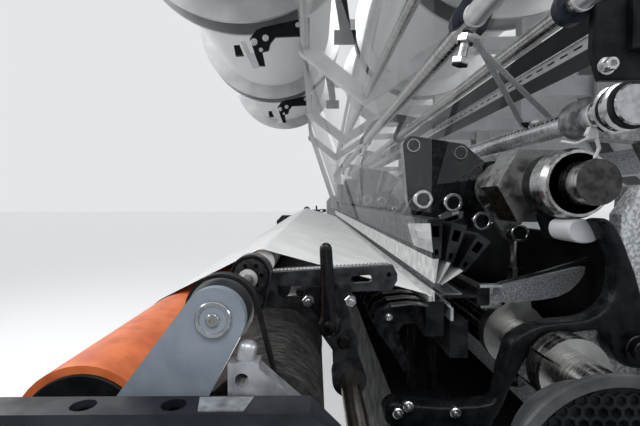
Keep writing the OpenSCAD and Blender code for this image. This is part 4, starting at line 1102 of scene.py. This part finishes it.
# Straps round the ends of the tube: narrow clear plastic ties, each drawn tight through its head.
# Their short tails are left on and stand a little apart below the tube.
strap_clear = finish("strap_clear", ((0.66, 0.67, 0.68), (0.80, 0.81, 0.82), 150), 0.3)
strap_band = [(16.1, 0), (17.4, 0.4), (17.6, 2), (17.4, 3.6), (16.1, 4)]
strap_head = [(156, 217), (165, 214), (167, 205), (158, 202), (152, 208)]
front_tail = [(158, 204), (140, 196), (124, 199), (124, 201), (141, 198.4), (158, 206.5)]
lower_tail = [(164, 205), (168, 192), (163, 180), (165, 179.4), (170.4, 192), (166.4, 206)]
turned_ends("tube_straps", strap_band, 1590, *tube_axis, 40)
plate_ends("tube_straps", strap_head, 1588, 1596, 1)
for tail in (front_tail, lower_tail):
    plate_ends("tube_straps", tail, 1590, 1594)
piece("tube_straps", strap_clear, smooth=30)
band_grey = finish("band_grey", ((0.24, 0.25, 0.27), (0.34, 0.35, 0.37), 300), 0.6)
dress(["elastic_bands"], band_grey, 0)

# Motors: the main motor at the far end of the bed, and a let-off motor at the far end of each beam.
# Their housings are cast and painted dark blue-grey; the main motor's has cooling ribs.
motor_paint = finish(
    "motor_paint", ((0.09, 0.108, 0.13), (0.135, 0.157, 0.185), 20), 0.45, grain=(700, 0.0001))
dress(["main_motor", "let_off_motors"], motor_paint, 0.002)

# Temples: plates with a belt of pins that hold the fabric's edge, driven by a small gear pair.
# The plates are blackened steel with a worn edge, the gears dark with bright teeth; the pins are
# bright and the nuts chromed.
temple_steel = finish(
    "temple_steel", ((0.018, 0.019, 0.022), (0.060, 0.063, 0.070), 60), (0.28, 0.48, 90), metal=0.6,
    shine=0.2, grain=(700, 0.0001))
rubbed_edge = finish("rubbed_edge", ((0.10, 0.105, 0.11), (0.42, 0.43, 0.44), 140), 0.3, metal=0.9)
dress(["near_temple", "far_temple"], temple_steel, 0.0007, rubbed_edge)
dress(["near_pin_belt", "far_pin_belt"], needle_steel, 0)
gear_dark = finish(
    "gear_dark", ((0.028, 0.028, 0.030), (0.080, 0.080, 0.084), 150), 0.34, metal=0.8)
dress(["near_gear", "far_gear", "near_pinion", "far_pinion"], gear_dark, 0.0006, cut_edge)
sleeve_form = [(4.8, 0), (11, 0), (11, 2), (7.4, 3), (7, 4), (7, 52), (6.4, 53), (4.8, 53)]
for side, name in ((1, "near_gear"), (-1, "far_gear")):
    turned(f"{name}_sleeve", sleeve_form, at(side * 1631, *spreader_axis), (side, 0, 0), 28)
    piece(f"{name}_sleeve", bare_steel, name)
nut = [(-7.4, 0), (-7.4, 4.4), (-6.4, 5.4), (3.4, 5.4), (3.4, 7.5), (2.8, 8), (0, 8)]
clamp_block = [(-178.5, 29), (-155, 30), (-152, 26), (-156, -4), (-166, -8), (-176, 6), (-181, 25)]
rail_cap = [(8, 0), (8, 1), (6.6, 1.6), (4.9, 1.6), (4.9, 0.6), (0, 0.6)]
for side, name in ((1, "near_temple"), (-1, "far_temple")):
    for y in (-178, -129):
        turned(f"{name}_nuts", nut, at(side * 1607, y, 13), (side, 0, 0))
    piece(f"{name}_nuts", chrome, name)
    for y, z in ((-188, 22), (-147, 29)):
        cap_screw(f"{name}_bolts", at(side * 1600, y, z), (side, 0, 0), 4.6, 4)
    plate(f"{name}_bolts", clamp_block, side * 1600, side * 1605, 1)
    turned(f"{name}_bolts", rail_cap, at(side * 1600, -135.7, -38.4), (side, 0, 0))
    piece(f"{name}_bolts", black_oxide, name)
